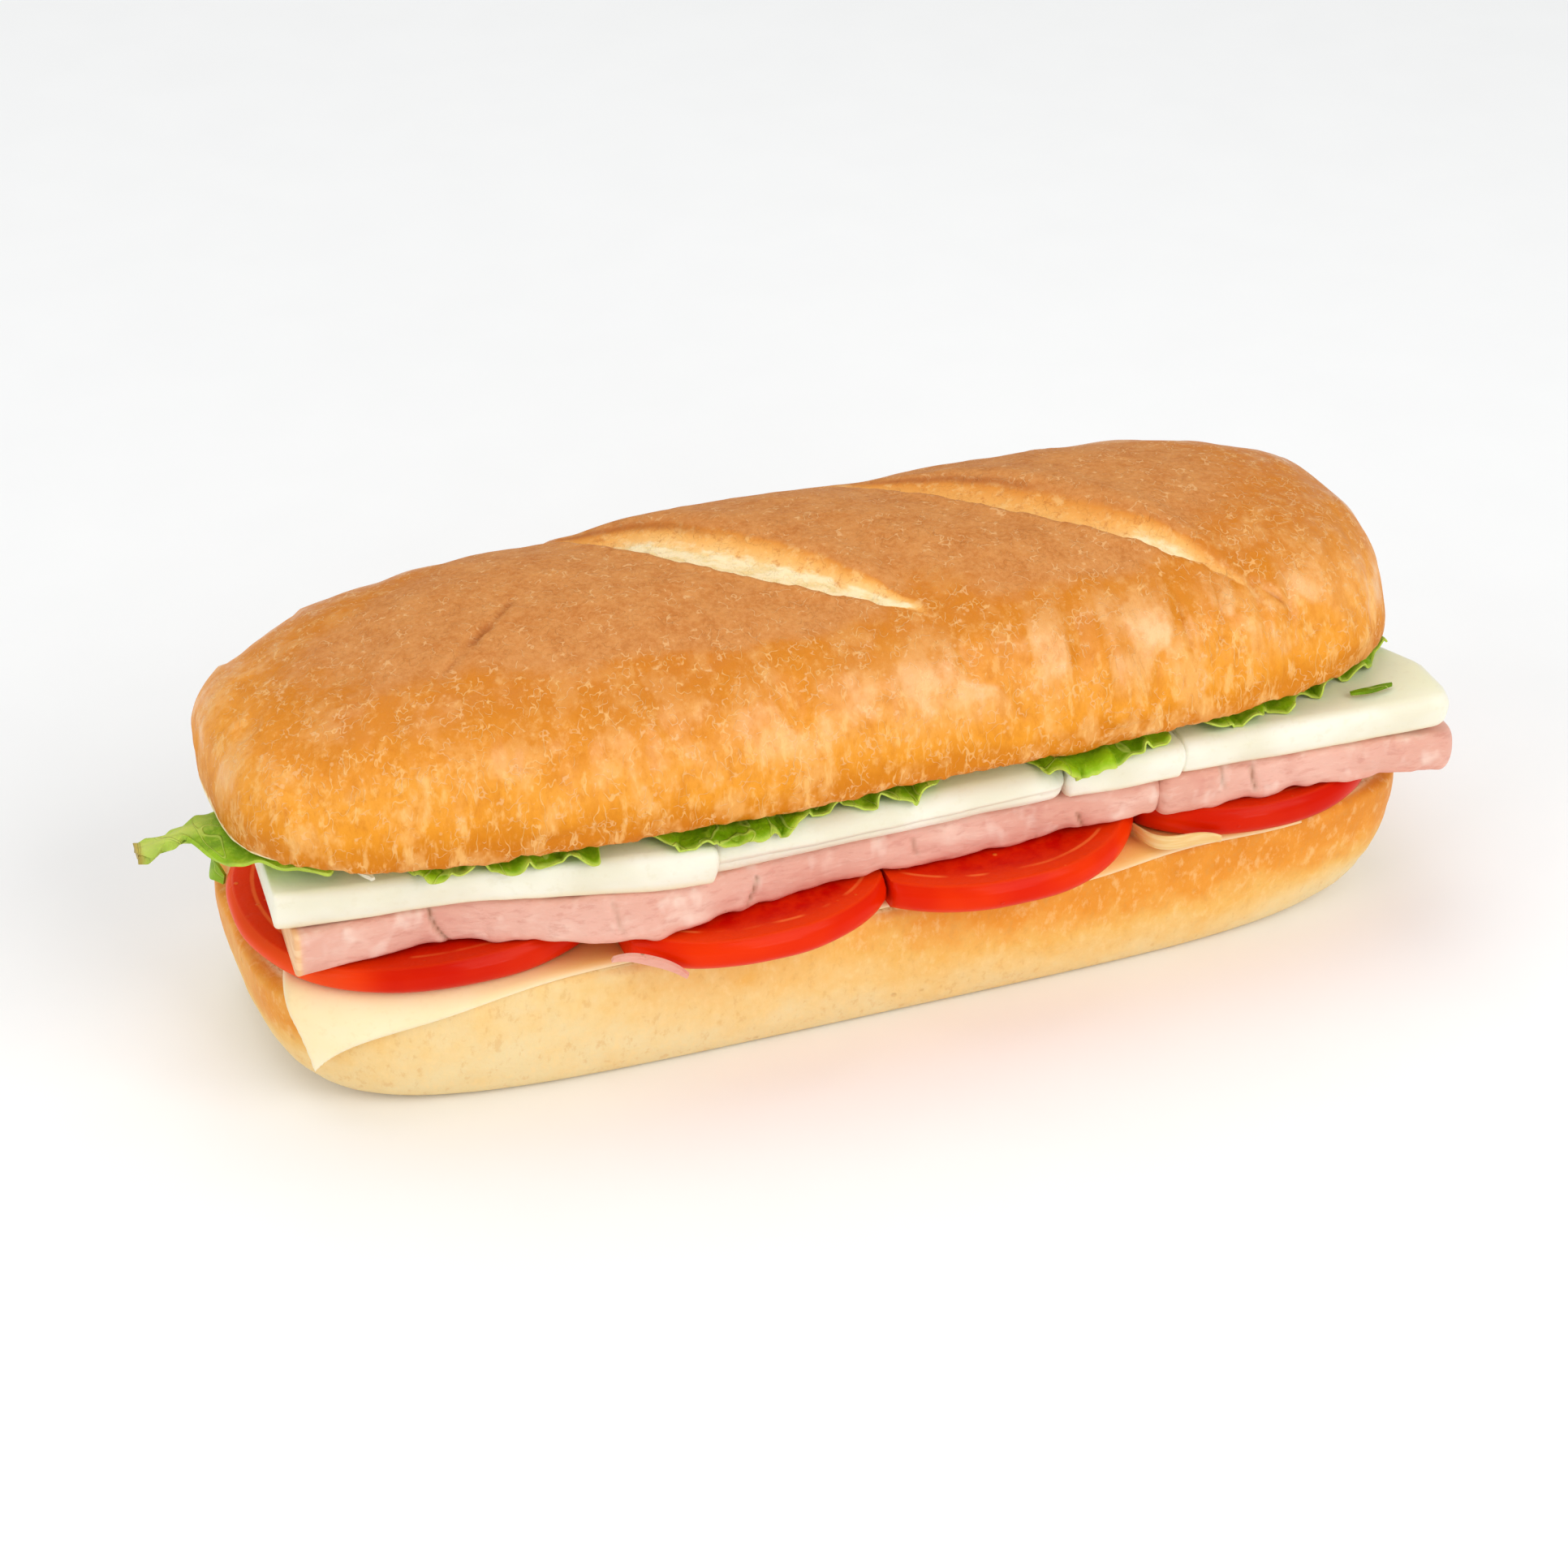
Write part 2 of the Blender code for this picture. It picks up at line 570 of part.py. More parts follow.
def build_onion():
    """A curved strip that stands round the left end of the last tomato slice."""
    _, middle, half_length, _, _ = TOMATOES[-1]
    turn = np.radians(np.linspace(221.0, 252.0, 9))[:, None]
    level = np.array([0.0, 0.5, 1.0])[None, :]
    radius = half_length + np.linspace(0.0050, 0.0024, 9)[:, None] + 0.0008 * np.sin(np.pi * level)
    x = middle[0] + radius * np.cos(turn)
    y = middle[1] + radius * np.sin(turn)
    z = TOMATO_LOW + 0.0002 + 0.0034 * level + 0.0 * turn
    add_sheet("onion_strip", np.stack([x, y, z], axis=-1), 0.0011, "onion")


# Each loose strip: its route, the run of its width, half its width, its thickness and its material.
STRIPS = {
    "ham_shred": (
        ((-0.0590, -0.0470, 0.0350), (-0.0530, -0.0490, 0.0348), (-0.0455, -0.0515, 0.0312)),
        (0.35, -0.35, 0.87),
        0.0014,
        0.0009,
        "ham",
    ),
    "lettuce_shred": (
        (
            (0.0985, -0.0395, WHITE_TOP + 0.0011),
            (0.1020, -0.0405, WHITE_TOP + 0.0016),
            (0.1080, -0.0390, WHITE_TOP + 0.0010),
        ),
        (0.2, 0.98, 0.0),
        0.0008,
        0.0006,
        "lettuce",
    ),
    "lettuce_curl": (
        (
            (-0.1197, 0.0115, LOWER_HEIGHT + 0.0028),
            (-0.1228, 0.0155, LOWER_HEIGHT + 0.0042),
            (-0.1190, 0.0205, LOWER_HEIGHT + 0.0028),
        ),
        (0.2, 0.0, 0.98),
        0.0022,
        0.0007,
        "lettuce",
    ),
}


def main():
    clear_scene()
    build_lower_roll()
    build_yellow_cheese()
    build_tomatoes()
    build_onion()
    build_ham()
    build_white_cheese()
    for leaf in LEAVES:
        build_leaf(*leaf)
    build_end_leaf()
    for name, sizes in STRIPS.items():
        build_strip(name, *sizes)
    build_upper_roll()


main()
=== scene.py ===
"""The looks of the ham sandwich: each layer as a finely cut surface with its own finish.

Every piece takes the place of the solid of the same layer. All sizes are in metres.
The origin is the middle of the flat base, +X runs along the roll, and +Z is up.
"""

import bpy
import numpy as np
from mathutils import Matrix, Vector


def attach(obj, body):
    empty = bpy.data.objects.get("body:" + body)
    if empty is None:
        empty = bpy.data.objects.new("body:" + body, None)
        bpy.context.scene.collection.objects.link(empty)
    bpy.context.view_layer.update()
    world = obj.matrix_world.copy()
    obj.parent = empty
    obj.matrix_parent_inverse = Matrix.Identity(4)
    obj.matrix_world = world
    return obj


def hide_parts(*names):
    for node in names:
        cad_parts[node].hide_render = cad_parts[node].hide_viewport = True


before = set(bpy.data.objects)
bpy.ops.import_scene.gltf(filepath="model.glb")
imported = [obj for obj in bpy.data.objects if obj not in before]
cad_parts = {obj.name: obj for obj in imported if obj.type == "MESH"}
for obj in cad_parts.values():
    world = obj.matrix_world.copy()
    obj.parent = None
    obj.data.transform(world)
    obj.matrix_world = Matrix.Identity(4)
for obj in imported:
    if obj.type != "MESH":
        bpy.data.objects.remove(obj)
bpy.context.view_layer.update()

# The driving sizes of the part, which each surface here shares with its solid.
GAP = 0.0004
LOWER_HALF_LENGTH = 0.1212
LOWER_HALF_WIDTH = 0.0410
LOWER_HEIGHT = 0.0280
LOWER_BASE_SHARE = 0.83
LOWER_PLAN_POWER = 4.5
LOWER_SIDE_POWER = 2.3
LOWER_RIM_ROUND = 0.0022

UPPER_MIDDLE = (-0.0044, -0.0050)
UPPER_HALF_LENGTH = 0.1201
UPPER_HALF_WIDTH = 0.0424
UPPER_PLAN_POWER = 3.5
UPPER_LEFT_POWER = 2.75
UPPER_RIGHT_POWER = 3.6
UPPER_BASE = 0.0592
UPPER_WIDEST = 0.0036
UPPER_RISE = 0.0322
UPPER_RIM_TURN = np.radians(25.0)

YELLOW_THICK = 0.0016
TOMATO_THICK = 0.0062
HAM_THICK = 0.0096
WHITE_THICK = 0.0080
LEAF_THICK = 0.0007

YELLOW_LOW = LOWER_HEIGHT + GAP
TOMATO_LOW = YELLOW_LOW + YELLOW_THICK + GAP
HAM_LOW = TOMATO_LOW + TOMATO_THICK + GAP
WHITE_LOW = HAM_LOW + HAM_THICK + GAP
WHITE_TOP = WHITE_LOW + WHITE_THICK
LEAF_MIDDLE = 0.5 * (WHITE_TOP + UPPER_BASE)

# The two slashes across the top: both ends of the near edge, its bow, the cut's width and depth, and the
# shares of its length between which crumb shows. The glows are where the near ends keep the cap light.
SLASHES = (
    ((-0.052, 0.024), (0.006, -0.030), -0.0070, 0.0160, 0.0030, 0.26, 1.03),
    ((0.013, 0.018), (0.074, -0.0345), -0.0044, 0.0125, 0.0024, 0.78, 0.90),
)
SLASH_GLOWS = ((0.0120, -0.0340), (0.0780, -0.0335))
SLASH_GLOW_REACH = 0.012
SLASH_TURN = 40.0
SLASH_VALLEY_REACH = 0.014
SLASH_VALLEY_DEPTH = 0.0016
SLASH_LIP = 0.0009

# Thin creases and cracks in the crust: both ends, half width and depth.
CREASES = (
    ((0.0725, -0.0322, 0.0865), (0.0794, -0.0355, 0.0827), 0.0008, 0.0010),
    ((0.0794, -0.0355, 0.0827), (0.0850, -0.0385, 0.0775), 0.0006, 0.0007),
    ((-0.0640, -0.0075, 0.0932), (-0.0700, -0.0130, 0.0924), 0.0006, 0.0009),
    ((-0.0700, -0.0130, 0.0924), (-0.0762, -0.0178, 0.0910), 0.0009, 0.0012),
    ((-0.0762, -0.0178, 0.0910), (-0.0840, -0.0240, 0.0885), 0.0006, 0.0006),
)

# The dark baked cap on the upper roll: its middle and half sizes in plan.
CAP_MIDDLE = (-0.0050, -0.0045)
CAP_HALF_LENGTH = 0.0900
CAP_HALF_WIDTH = 0.0272
CAP_POWER = 3.0

# Cells of the noise that shapes the upper roll's side: short along the roll, so that its forms run upwards.
CREASE_CELLS = (0.0060, 0.040, 0.022)
VALLEY_CELLS = (0.0085, 0.08, 0.035)
VALLEY_GROUP_CELLS = (0.020, 0.08, 0.016)
PLATE_CELLS = (0.0075, 0.08, 0.020)
PLATE_SEED = 9
RUGGED_MIDDLE = 0.060

# The camera: the point it looks at, its turn and height in degrees, its distance and its lens.
LOOK_AT = Vector((-0.0106, -0.0126, 0.0480))
CAMERA_TURN = -20.5
CAMERA_HEIGHT = 32.0
CAMERA_DISTANCE = 0.811
IMAGE_SIDE = 1932
FOCAL_PIXELS = 5068.75
LOOK_AT_PIXEL = (972, 940)
SENSOR_WIDTH = 36.0


# Numbers and noise.


def signed_power(value, power):
    return np.sign(value) * np.abs(value) ** power


def ramp(value, start, end):
    """A smooth step: 0 at start, 1 at end, flat beyond both."""
    share = np.clip((value - start) / (end - start), 0.0, 1.0)
    return share * share * (3.0 - 2.0 * share)


def between(value, start, full, fade, end):
    """1 from full to fade, with a smooth step up before it and down after it."""
    return ramp(value, start, full) * (1.0 - ramp(value, fade, end))


def bump(value, middle, reach):
    """A bell of height 1 round the middle."""
    return np.exp(-(((value - middle) / reach) ** 2))


def lattice(cell, seed):
    """A fixed number from -1 to 1 for each whole-numbered cell: its three numbers mixed bit by bit."""
    key = cell[..., 0] * 73856093 ^ cell[..., 1] * 19349663 ^ cell[..., 2] * 83492791 ^ seed * 29710733
    key = (key ^ (key >> 13)) * 1274126177
    return ((key ^ (key >> 16)) & 0xFFFF) / 32767.5 - 1.0


def clouds(points, size, seed, octaves=2):
    """Soft noise, about -1 to 1: the lattice's numbers blended smoothly over cells of a size.

    size is one length, or one for each axis. Each further octave has half the cells and half the height.
    """
    total = np.zeros(points.shape[:-1])
    for octave in range(octaves):
        place = points / np.asarray(size) * 2.0**octave + 17.3 * seed
        cell = np.floor(place).astype(np.int64)
        part = place - cell
        part = part * part * (3.0 - 2.0 * part)
        for corner in np.ndindex(2, 2, 2):
            pick = np.array(corner)
            weight = np.prod(np.where(pick == 1, part, 1.0 - part), axis=-1)
            total += 0.5**octave * weight * lattice(cell + pick, seed + octave)
    return total


def along_curve(x, y, count):
    """count points spaced evenly along the open curve through x, y."""
    length = np.concatenate([[0.0], np.cumsum(np.hypot(np.diff(x), np.diff(y)))])
    wanted = np.linspace(0.0, length[-1], count)
    return np.interp(wanted, length, x), np.interp(wanted, length, y)


def oval(half_length, half_width, power, count):
    """A superellipse outline, |x/a|^p + |y/b|^p = 1, with points evenly spaced along it."""
    angle = np.linspace(0.0, 2.0 * np.pi, 6001)
    x = half_length * signed_power(np.cos(angle), 2.0 / power)
    y = half_width * signed_power(np.sin(angle), 2.0 / power)
    x, y = along_curve(x, y, count + 1)
    return np.stack([x[:-1], y[:-1]], axis=1)


def unit(vectors):
    return vectors / (np.linalg.norm(vectors, axis=-1, keepdims=True) + 1e-12)


def grid_normals(grid):
    """The unit cross product of the steps along both sides of a grid of points."""
    return unit(np.cross(np.gradient(grid, axis=0), np.gradient(grid, axis=1)))


def ring_normals(rings):
    """grid_normals for rings that close on themselves."""
    wide = np.concatenate([rings[:, -1:], rings, rings[:, :1]], axis=1)
    return grid_normals(wide)[:, 1:-1]


def slab_normals(rings):
    """ring_normals of a slab, all turned the way that points out of it on the whole."""
    outward = ring_normals(rings)
    middle = rings.mean(axis=1, keepdims=True)
    return outward * np.sign(np.sum(outward * (rings - middle), axis=(0, 1, 2)))


# Meshes.


# The angle between two faces above which their edge stays sharp.
SHARP_DEGREES = 60.0
TOMATO_SHARP_DEGREES = 48.0
SHEET_SHARP_DEGREES = 70.0


def add_piece(name, points, face_sets, finish, node, marks, sharp_degrees):
    """A closed mesh from points and arrays of faces, turned outwards, in place of a node of the part.

    marks are numbers for each point, by name, that the finish reads. A body whose faces enclose a
    negative volume is inside out, so all its faces are turned round.
    """
    corner = points[face_sets[0]]
    volume = np.sum(np.cross(corner[:, 1], corner[:, 2]) * corner[:, 0])
    if volume < 0.0:
        face_sets = [faces[:, ::-1] for faces in face_sets]
    loops = np.concatenate([faces.reshape(-1) for faces in face_sets])
    sizes = np.concatenate([np.full(len(faces), faces.shape[1]) for faces in face_sets])
    starts = np.concatenate([[0], np.cumsum(sizes)[:-1]])
    mesh = bpy.data.meshes.new(name)
    mesh.vertices.add(len(points))
    mesh.vertices.foreach_set("co", points.astype(np.float32).ravel())
    mesh.loops.add(len(loops))
    mesh.loops.foreach_set("vertex_index", loops.astype(np.int32))
    mesh.polygons.add(len(sizes))
    mesh.polygons.foreach_set("loop_start", starts.astype(np.int32))
    mesh.update(calc_edges=True)
    for mark, numbers in marks.items():
        layer = mesh.attributes.new(mark, "FLOAT", "POINT")
        layer.data.foreach_set("value", np.asarray(numbers, dtype=np.float32).ravel())
    mesh.shade_smooth()
    mesh.set_sharp_from_angle(angle=np.radians(sharp_degrees))
    mesh.materials.append(finish)
    piece = bpy.data.objects.new(name, mesh)
    bpy.context.scene.collection.objects.link(piece)
    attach(piece, "root")
    if node:
        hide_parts(node)


def ring_quads(rings, points_each):
    """Quads between closed rings, each ring joined to the next."""
    ring, point = np.meshgrid(np.arange(rings - 1), np.arange(points_each), indexing="ij")
    after = (point + 1) % points_each
    a = ring * points_each + point
    b = ring * points_each + after
    return np.stack([a, b, b + points_each, a + points_each], axis=-1).reshape(-1, 4)


def add_loft(name, rings, finish, node, marks, sharp_degrees=SHARP_DEGREES):
    """A body through a stack of closed rings, with a fan to the middle of its first and its last."""
    count, points_each = rings.shape[:2]
    tips = np.stack([rings[0].mean(axis=0), rings[-1].mean(axis=0)])
    points = np.concatenate([rings.reshape(-1, 3), tips])
    first = np.arange(points_each)
    after = np.roll(first, -1)
    last = (count - 1) * points_each
    tip = count * points_each
    fans = np.concatenate(
        [
            np.stack([after, first, np.full_like(first, tip)], axis=1),
            np.stack([first + last, after + last, np.full_like(first, tip + 1)], axis=1),
        ]
    )
    full = {}
    for mark, numbers in marks.items():
        numbers = np.broadcast_to(numbers, (count, points_each))
        full[mark] = np.concatenate([numbers.ravel(), [numbers[0].mean(), numbers[-1].mean()]])
    quads = ring_quads(count, points_each)
    add_piece(name, points, [quads, fans], finish, node, full, sharp_degrees)


def add_sheet(name, middle, thick, finish, node, marks):
    """A thin body on both sides of a grid: half the thickness each way along its normal."""
    half = 0.5 * np.broadcast_to(thick, middle.shape[:2])[..., None] * grid_normals(middle)
    rows, columns = middle.shape[:2]
    size = rows * columns
    row, column = np.meshgrid(np.arange(rows - 1), np.arange(columns - 1), indexing="ij")
    a = (row * columns + column).ravel()
    upper = np.stack([a, a + columns, a + columns + 1, a + 1], axis=1)
    edge = np.concatenate(
        [
            np.arange(columns - 1),
            np.arange(rows - 1) * columns + columns - 1,
            size - 1 - np.arange(columns - 1),
            (rows - 1 - np.arange(rows - 1)) * columns,
        ]
    )
    after = np.roll(edge, -1)
    rim = np.stack([edge, after, after + size, edge + size], axis=1)
    points = np.concatenate([(middle + half).reshape(-1, 3), (middle - half).reshape(-1, 3)])
    full = {mark: np.tile(np.broadcast_to(n, (rows, columns)).ravel(), 2) for mark, n in marks.items()}
    faces = [np.concatenate([upper, upper[:, ::-1] + size, rim])]
    add_piece(name, points, faces, finish, node, full, SHEET_SHARP_DEGREES)


# Finishes.


def tint(red, green, blue):
    """A colour from its three numbers of 0 to 255 on a screen, made linear."""
    share = np.array([red, green, blue]) / 255.0
    linear = np.where(share <= 0.04045, share / 12.92, ((share + 0.055) / 1.055) ** 2.4)
    return (*linear.tolist(), 1.0)


class Value:
    """A number that changes over a surface. Arithmetic on it adds Math nodes."""

    def __init__(self, finish, socket):
        self.finish = finish
        self.socket = socket

    def maths(self, operation, *numbers):
        return self.finish.add("ShaderNodeMath", {"operation": operation}, dict(enumerate(numbers)))

    def __add__(self, other):
        return self.maths("ADD", self, other)

    __radd__ = __add__

    def __mul__(self, other):
        return self.maths("MULTIPLY", self, other)

    __rmul__ = __mul__

    def __sub__(self, other):
        return self.maths("SUBTRACT", self, other)

    def __rsub__(self, other):
        return self.maths("SUBTRACT", other, self)

    def __truediv__(self, other):
        return self.maths("DIVIDE", self, other)

    def __abs__(self):
        return self.maths("ABSOLUTE", self)

    def step(self, start, end):
        """A smooth step from 0 at start to 1 at end."""
        sockets = {"Value": self, "From Min": start, "From Max": end}
        return self.finish.add("ShaderNodeMapRange", {"interpolation_type": "SMOOTHSTEP"}, sockets)


class Finish:
    """One material: its fixed numbers on the shader, and the nodes for what changes over the surface.

    under says how light goes below the surface: its share, its depth in metres, and how far its red,
    green and blue go as shares of that depth.
    """

    def __init__(self, name, ior=None, shine=None, under=(), coat_rough=None):
        self.material = bpy.data.materials.new(name)
        self.material.use_nodes = True
        self.tree = self.material.node_tree
        self.shader = self.tree.nodes["Principled BSDF"]
        fixed = {"IOR": ior, "Specular IOR Level": shine, "Coat Roughness": coat_rough}
        fixed.update(zip(("Subsurface Weight", "Subsurface Scale", "Subsurface Radius"), under))
        for socket, value in fixed.items():
            if value is not None:
                self.shader.inputs[socket].default_value = value

    def feed(self, socket, value):
        if isinstance(value, Value):
            self.tree.links.new(value.socket, socket)
        else:
            socket.default_value = value

    def add(self, kind, settings=(), sockets=(), output=0):
        """A node of a kind: its settings first, then the values or links of its sockets."""
        node = self.tree.nodes.new(kind)
        for setting, value in dict(settings).items():
            setattr(node, setting, value)
        for socket, value in dict(sockets).items():
            self.feed(node.inputs[socket], value)
        return Value(self, node.outputs[output])

    def place(self, stretch=(1.0, 1.0, 1.0), turn=0.0):
        """Object coordinates, turned about Z by degrees and stretched."""
        where = self.add("ShaderNodeTexCoord", output=3)
        rotation = (0.0, 0.0, np.radians(turn))
        turned = self.add("ShaderNodeMapping", {}, {"Vector": where, "Rotation": rotation})
        return self.add("ShaderNodeMapping", {}, {"Vector": turned, "Scale": stretch})

    def axis(self, name):
        where = self.add("ShaderNodeTexCoord", output=3)
        return self.add("ShaderNodeSeparateXYZ", {}, {0: where}, output="XYZ".index(name))

    def noise(self, place, scale, detail=2.0, rough=0.5, warp=0.0):
        sockets = {"Vector": place, "Scale": scale, "Detail": detail, "Roughness": rough, "Distortion": warp}
        return self.add("ShaderNodeTexNoise", {}, sockets)

    def specks(self, place, scale, radius, group_scale, group):
        """Round specks, 1 inside a radius and 0 outside, where a broader noise is high as well."""
        spots = 1.0 - self.add("ShaderNodeTexVoronoi", {}, {"Vector": place, "Scale": scale}).step(*radius)
        return spots * self.noise(self.place(), group_scale, 1.0).step(*group)

    def lines(self, place, scale, width, warp):
        """Thin wandering lines: 1 where a noise is close to its middle value, 0 elsewhere."""
        return 1.0 - abs(self.noise(place, scale, 1.0, 0.4, warp) - 0.5).step(0.3 * width, width)

    def mark(self, name):
        return self.add("ShaderNodeAttribute", {"attribute_name": name}, output=2)

    def mix(self, share, first, second):
        return self.add("ShaderNodeMix", {"data_type": "RGBA"}, {0: share, 6: first, 7: second}, output=2)

    def over(self, colour, *layers):
        """Lays layers over a colour, each the share that it covers and its colour on a screen."""
        for share, shade in layers:
            colour = self.mix(share, colour, tint(*shade))
        return colour

    def band(self, share, *stops):
        """Colours along a number from 0 to 1. Each stop is its place and its colour on a screen."""
        ramped = self.add("ShaderNodeValToRGB", {}, {0: share})
        elements = ramped.socket.node.color_ramp.elements
        while len(elements) < len(stops):
            elements.new(0.5)
        for element, (position, shade) in zip(elements, stops):
            element.position = position
            element.color = tint(*shade)
        return ramped

    def done(self, colour, rough, height=None, relief=0.0, coat=None):
        """Joins colour, roughness and relief to the shader. height times relief is in metres."""
        self.feed(self.shader.inputs["Base Color"], colour)
        self.feed(self.shader.inputs["Roughness"], rough)
        if height is not None:
            normal = self.add("ShaderNodeBump", {}, {"Strength": 1.0, "Distance": relief, "Height": height})
            self.feed(self.shader.inputs["Normal"], normal)
        if coat is not None:
            self.feed(self.shader.inputs["Coat Weight"], coat)
        return self.material


def crust_finish():
    """The upper roll: a matte brown cap, amber sides with pale hairs, and cuts from crumb to gold.

    The side's colour is a band over its height, darker at its foot with painted shade, with patches, streaks
    and crackle laid over it; some pale patches are a painted highlight. The marks are cap (1 on the cap),
    cut (1 at the near edge of a slash, 0 on its far lobe), crumb, singe_and_crease_shade (the dark baked rim
    of a slash, and painted shade in the creases and valleys), gloss, and plate_sheen, a smooth pale swell of
    the side whose lighter colour is a painted highlight.
    """
    made = Finish("golden_crust", 1.45, 0.20, (0.05, 0.003, (1.0, 0.45, 0.15)), 0.24)
    here = made.place()
    tall = made.place((1.0, 1.0, 0.38))
    mottle = made.noise(here, 150.0, 5.0, 0.65)
    broad = made.noise(here, 42.0)
    grain = made.noise(here, 950.0, 4.0, 0.72)
    streaks = made.noise(made.place((1.0, 1.0, 0.30)), 420.0, 4.0, 0.65)
    patches = made.noise(made.place((1.0, 1.0, 0.60)), 120.0, 4.0, 0.60)
    crackle = made.noise(made.place((1.0, 1.0, 0.60)), 480.0, 6.0, 0.72)
    height = made.axis("Z") + (mottle - 0.5) * 0.010 + (broad - 0.5) * 0.010
    low = 1.0 - height.step(UPPER_BASE + 0.012, UPPER_BASE + 0.026)
    # The smooth pale plates of the side: glossier, less rugged, and lighter in colour, which is a painted
    # highlight.
    smooth = made.mark("plate_sheen")
    rugged = 1.0 - smooth * 0.85
    # The band's lowest stops are darker: painted shade along the low edge of the side. The stops under the
    # cap are its darker bake.
    side = made.band(
        (height - UPPER_BASE) / UPPER_RISE,
        (0.00, (202, 114, 4)),
        (0.14, (214, 128, 10)),
        (0.28, (235, 152, 34)),
        (0.45, (238, 158, 50)),
        (0.62, (228, 144, 40)),
        (0.80, (210, 126, 22)),
        (1.00, (204, 120, 34)),
    )
    side = made.over(
        side,
        # Pale patches: partly paler crust, partly a painted highlight.
        (patches.step(0.50, 0.62) * (0.35 + low * 0.40) * rugged * 0.6, (245, 186, 110)),
        (patches.step(0.48, 0.34) * 0.50, (214, 128, 14)),
        (streaks.step(0.53, 0.68) * (0.20 + low * 0.35), (249, 196, 118)),
        (streaks.step(0.47, 0.34) * 0.35, (216, 128, 18)),
        # Painted highlight on the smooth plates.
        (smooth * (0.48 + crackle.step(0.40, 0.58) * 0.22), (244, 184, 114)),
        (smooth * patches.step(0.44, 0.60) * 0.40, (248, 202, 142)),
        (crackle.step(0.54, 0.70) * 0.28 * rugged, (249, 200, 126)),
        (crackle.step(0.46, 0.32) * 0.32 * rugged, (206, 118, 10)),
    )
    brown = made.over(
        tint(196, 120, 54),
        (mottle.step(0.30, 0.70), (212, 142, 76)),
        (grain.step(0.42, 0.60) * 0.50, (222, 154, 90)),
        (crackle.step(0.48, 0.34) * 0.35, (178, 102, 38)),
    )
    cap = (made.mark("cap") + (mottle - 0.5) * 0.60 + (crackle - 0.5) * 0.40).step(0.12, 0.84)
    hairs = made.lines(here, 520.0, 0.032, 0.15) * made.noise(here, 330.0, 1.0).step(0.52, 0.58)
    net = made.lines(tall, 560.0, 0.032, 0.15) * made.noise(tall, 300.0, 1.0).step(0.50, 0.58)
    skin = made.over(
        made.mix(cap * 0.94, side, brown),
        (hairs * 0.55, (240, 188, 128)),
        (net * (1.0 - cap) * rugged * 0.55, (248, 196, 124)),
        (made.specks(here, 420.0, (0.10, 0.22), 150.0, (0.54, 0.62)) * 0.50, (236, 184, 124)),
    )
    face = made.band(
        made.mark("cut") + (mottle - 0.5) * 0.10,
        (0.00, (204, 124, 58)),
        (0.16, (222, 142, 56)),
        (0.34, (241, 174, 90)),
        (0.55, (247, 194, 120)),
        (0.75, (249, 206, 140)),
        (1.00, (250, 218, 164)),
    )
    face = made.over(
        face,
        (streaks.step(0.50, 0.66) * 0.45, (249, 204, 134)),
        (crackle.step(0.46, 0.34) * 0.50, (194, 112, 40)),
    )
    skin = made.mix(made.mark("cut").step(0.03, 0.20), skin, face)
    pores = made.noise(made.place((0.45, 1.0, 1.0), SLASH_TURN), 520.0, 3.0, 0.6)
    nicks = made.specks(made.place((0.22, 1.0, 1.0), SLASH_TURN), 340.0, (0.14, 0.24), 200.0, (0.42, 0.54))
    crumb = made.over(
        tint(240, 210, 150),
        (pores.step(0.36, 0.58), (250, 228, 182)),
        (nicks * 0.85, (164, 124, 70)),
    )
    torn = made.mark("crumb") + (pores - 0.5) * 0.8 + (crackle - 0.5) * 0.6
    skin = made.mix(torn.step(0.36, 0.80), skin, crumb)
    # The dark baked rim of the slashes, and painted shade in the creases and valleys.
    skin = made.over(skin, (made.mark("singe_and_crease_shade") * 0.65, (164, 84, 26)))
    gloss = made.mark("gloss") * (0.35 + 0.65 * patches.step(0.42, 0.62)) + smooth * 0.8
    rough = 0.58 - gloss * 0.24 + cap * 0.06
    relief = streaks * 0.6 + grain * 0.25 + crackle * 0.6 + hairs * 0.12 + net * 0.15 + patches * 0.6
    relief = relief + made.mark("crumb") * (pores * 1.2 - nicks * 0.6)
    return made.done(skin, rough, relief, 0.00040, gloss * 0.40)


def bread_finish():
    """The lower roll: floury and pale low on the left, golden to the right and under the rim.

    Its colour is a band over the mark bake plus noise. The mark crumb shows the pores of the cut face.
    """
    made = Finish("soft_bread", 1.42, 0.18, (0.06, 0.003, (1.0, 0.5, 0.2)), 0.28)
    here = made.place()
    bake = made.mark("bake")
    mottle = made.noise(here, 150.0, 5.0, 0.62)
    broad = made.noise(here, 38.0)
    grain = made.noise(made.place((1.0, 1.0, 0.6)), 520.0, 4.0, 0.65)
    pores = made.noise(here, 520.0, 3.0, 0.65)
    dents = made.specks(here, 170.0, (0.05, 0.15), 90.0, (0.50, 0.62))
    skin = made.band(
        bake + (mottle - 0.5) * 0.52 + (broad - 0.5) * 0.32,
        (0.00, (238, 214, 162)),
        (0.26, (240, 202, 134)),
        (0.52, (239, 184, 96)),
        (0.76, (234, 152, 50)),
        (1.00, (220, 132, 26)),
    )
    skin = made.over(
        skin,
        (grain.step(0.50, 0.70) * 0.38, (249, 214, 150)),
        (grain.step(0.46, 0.30) * 0.30, (214, 154, 78)),
        (dents * 0.30, (196, 138, 66)),
    )
    crumb = made.over(tint(214, 176, 112), (pores.step(0.30, 0.50), (246, 222, 170)))
    skin = made.mix(made.mark("crumb"), skin, crumb)
    relief = grain * 0.8 + made.noise(here, 1000.0) * 0.3 - dents * 0.5 + mottle * 0.8
    relief = relief + made.mark("crumb") * pores * 2.0
    return made.done(skin, 0.56 - bake * 0.10, relief, 0.00030, bake * 0.10)


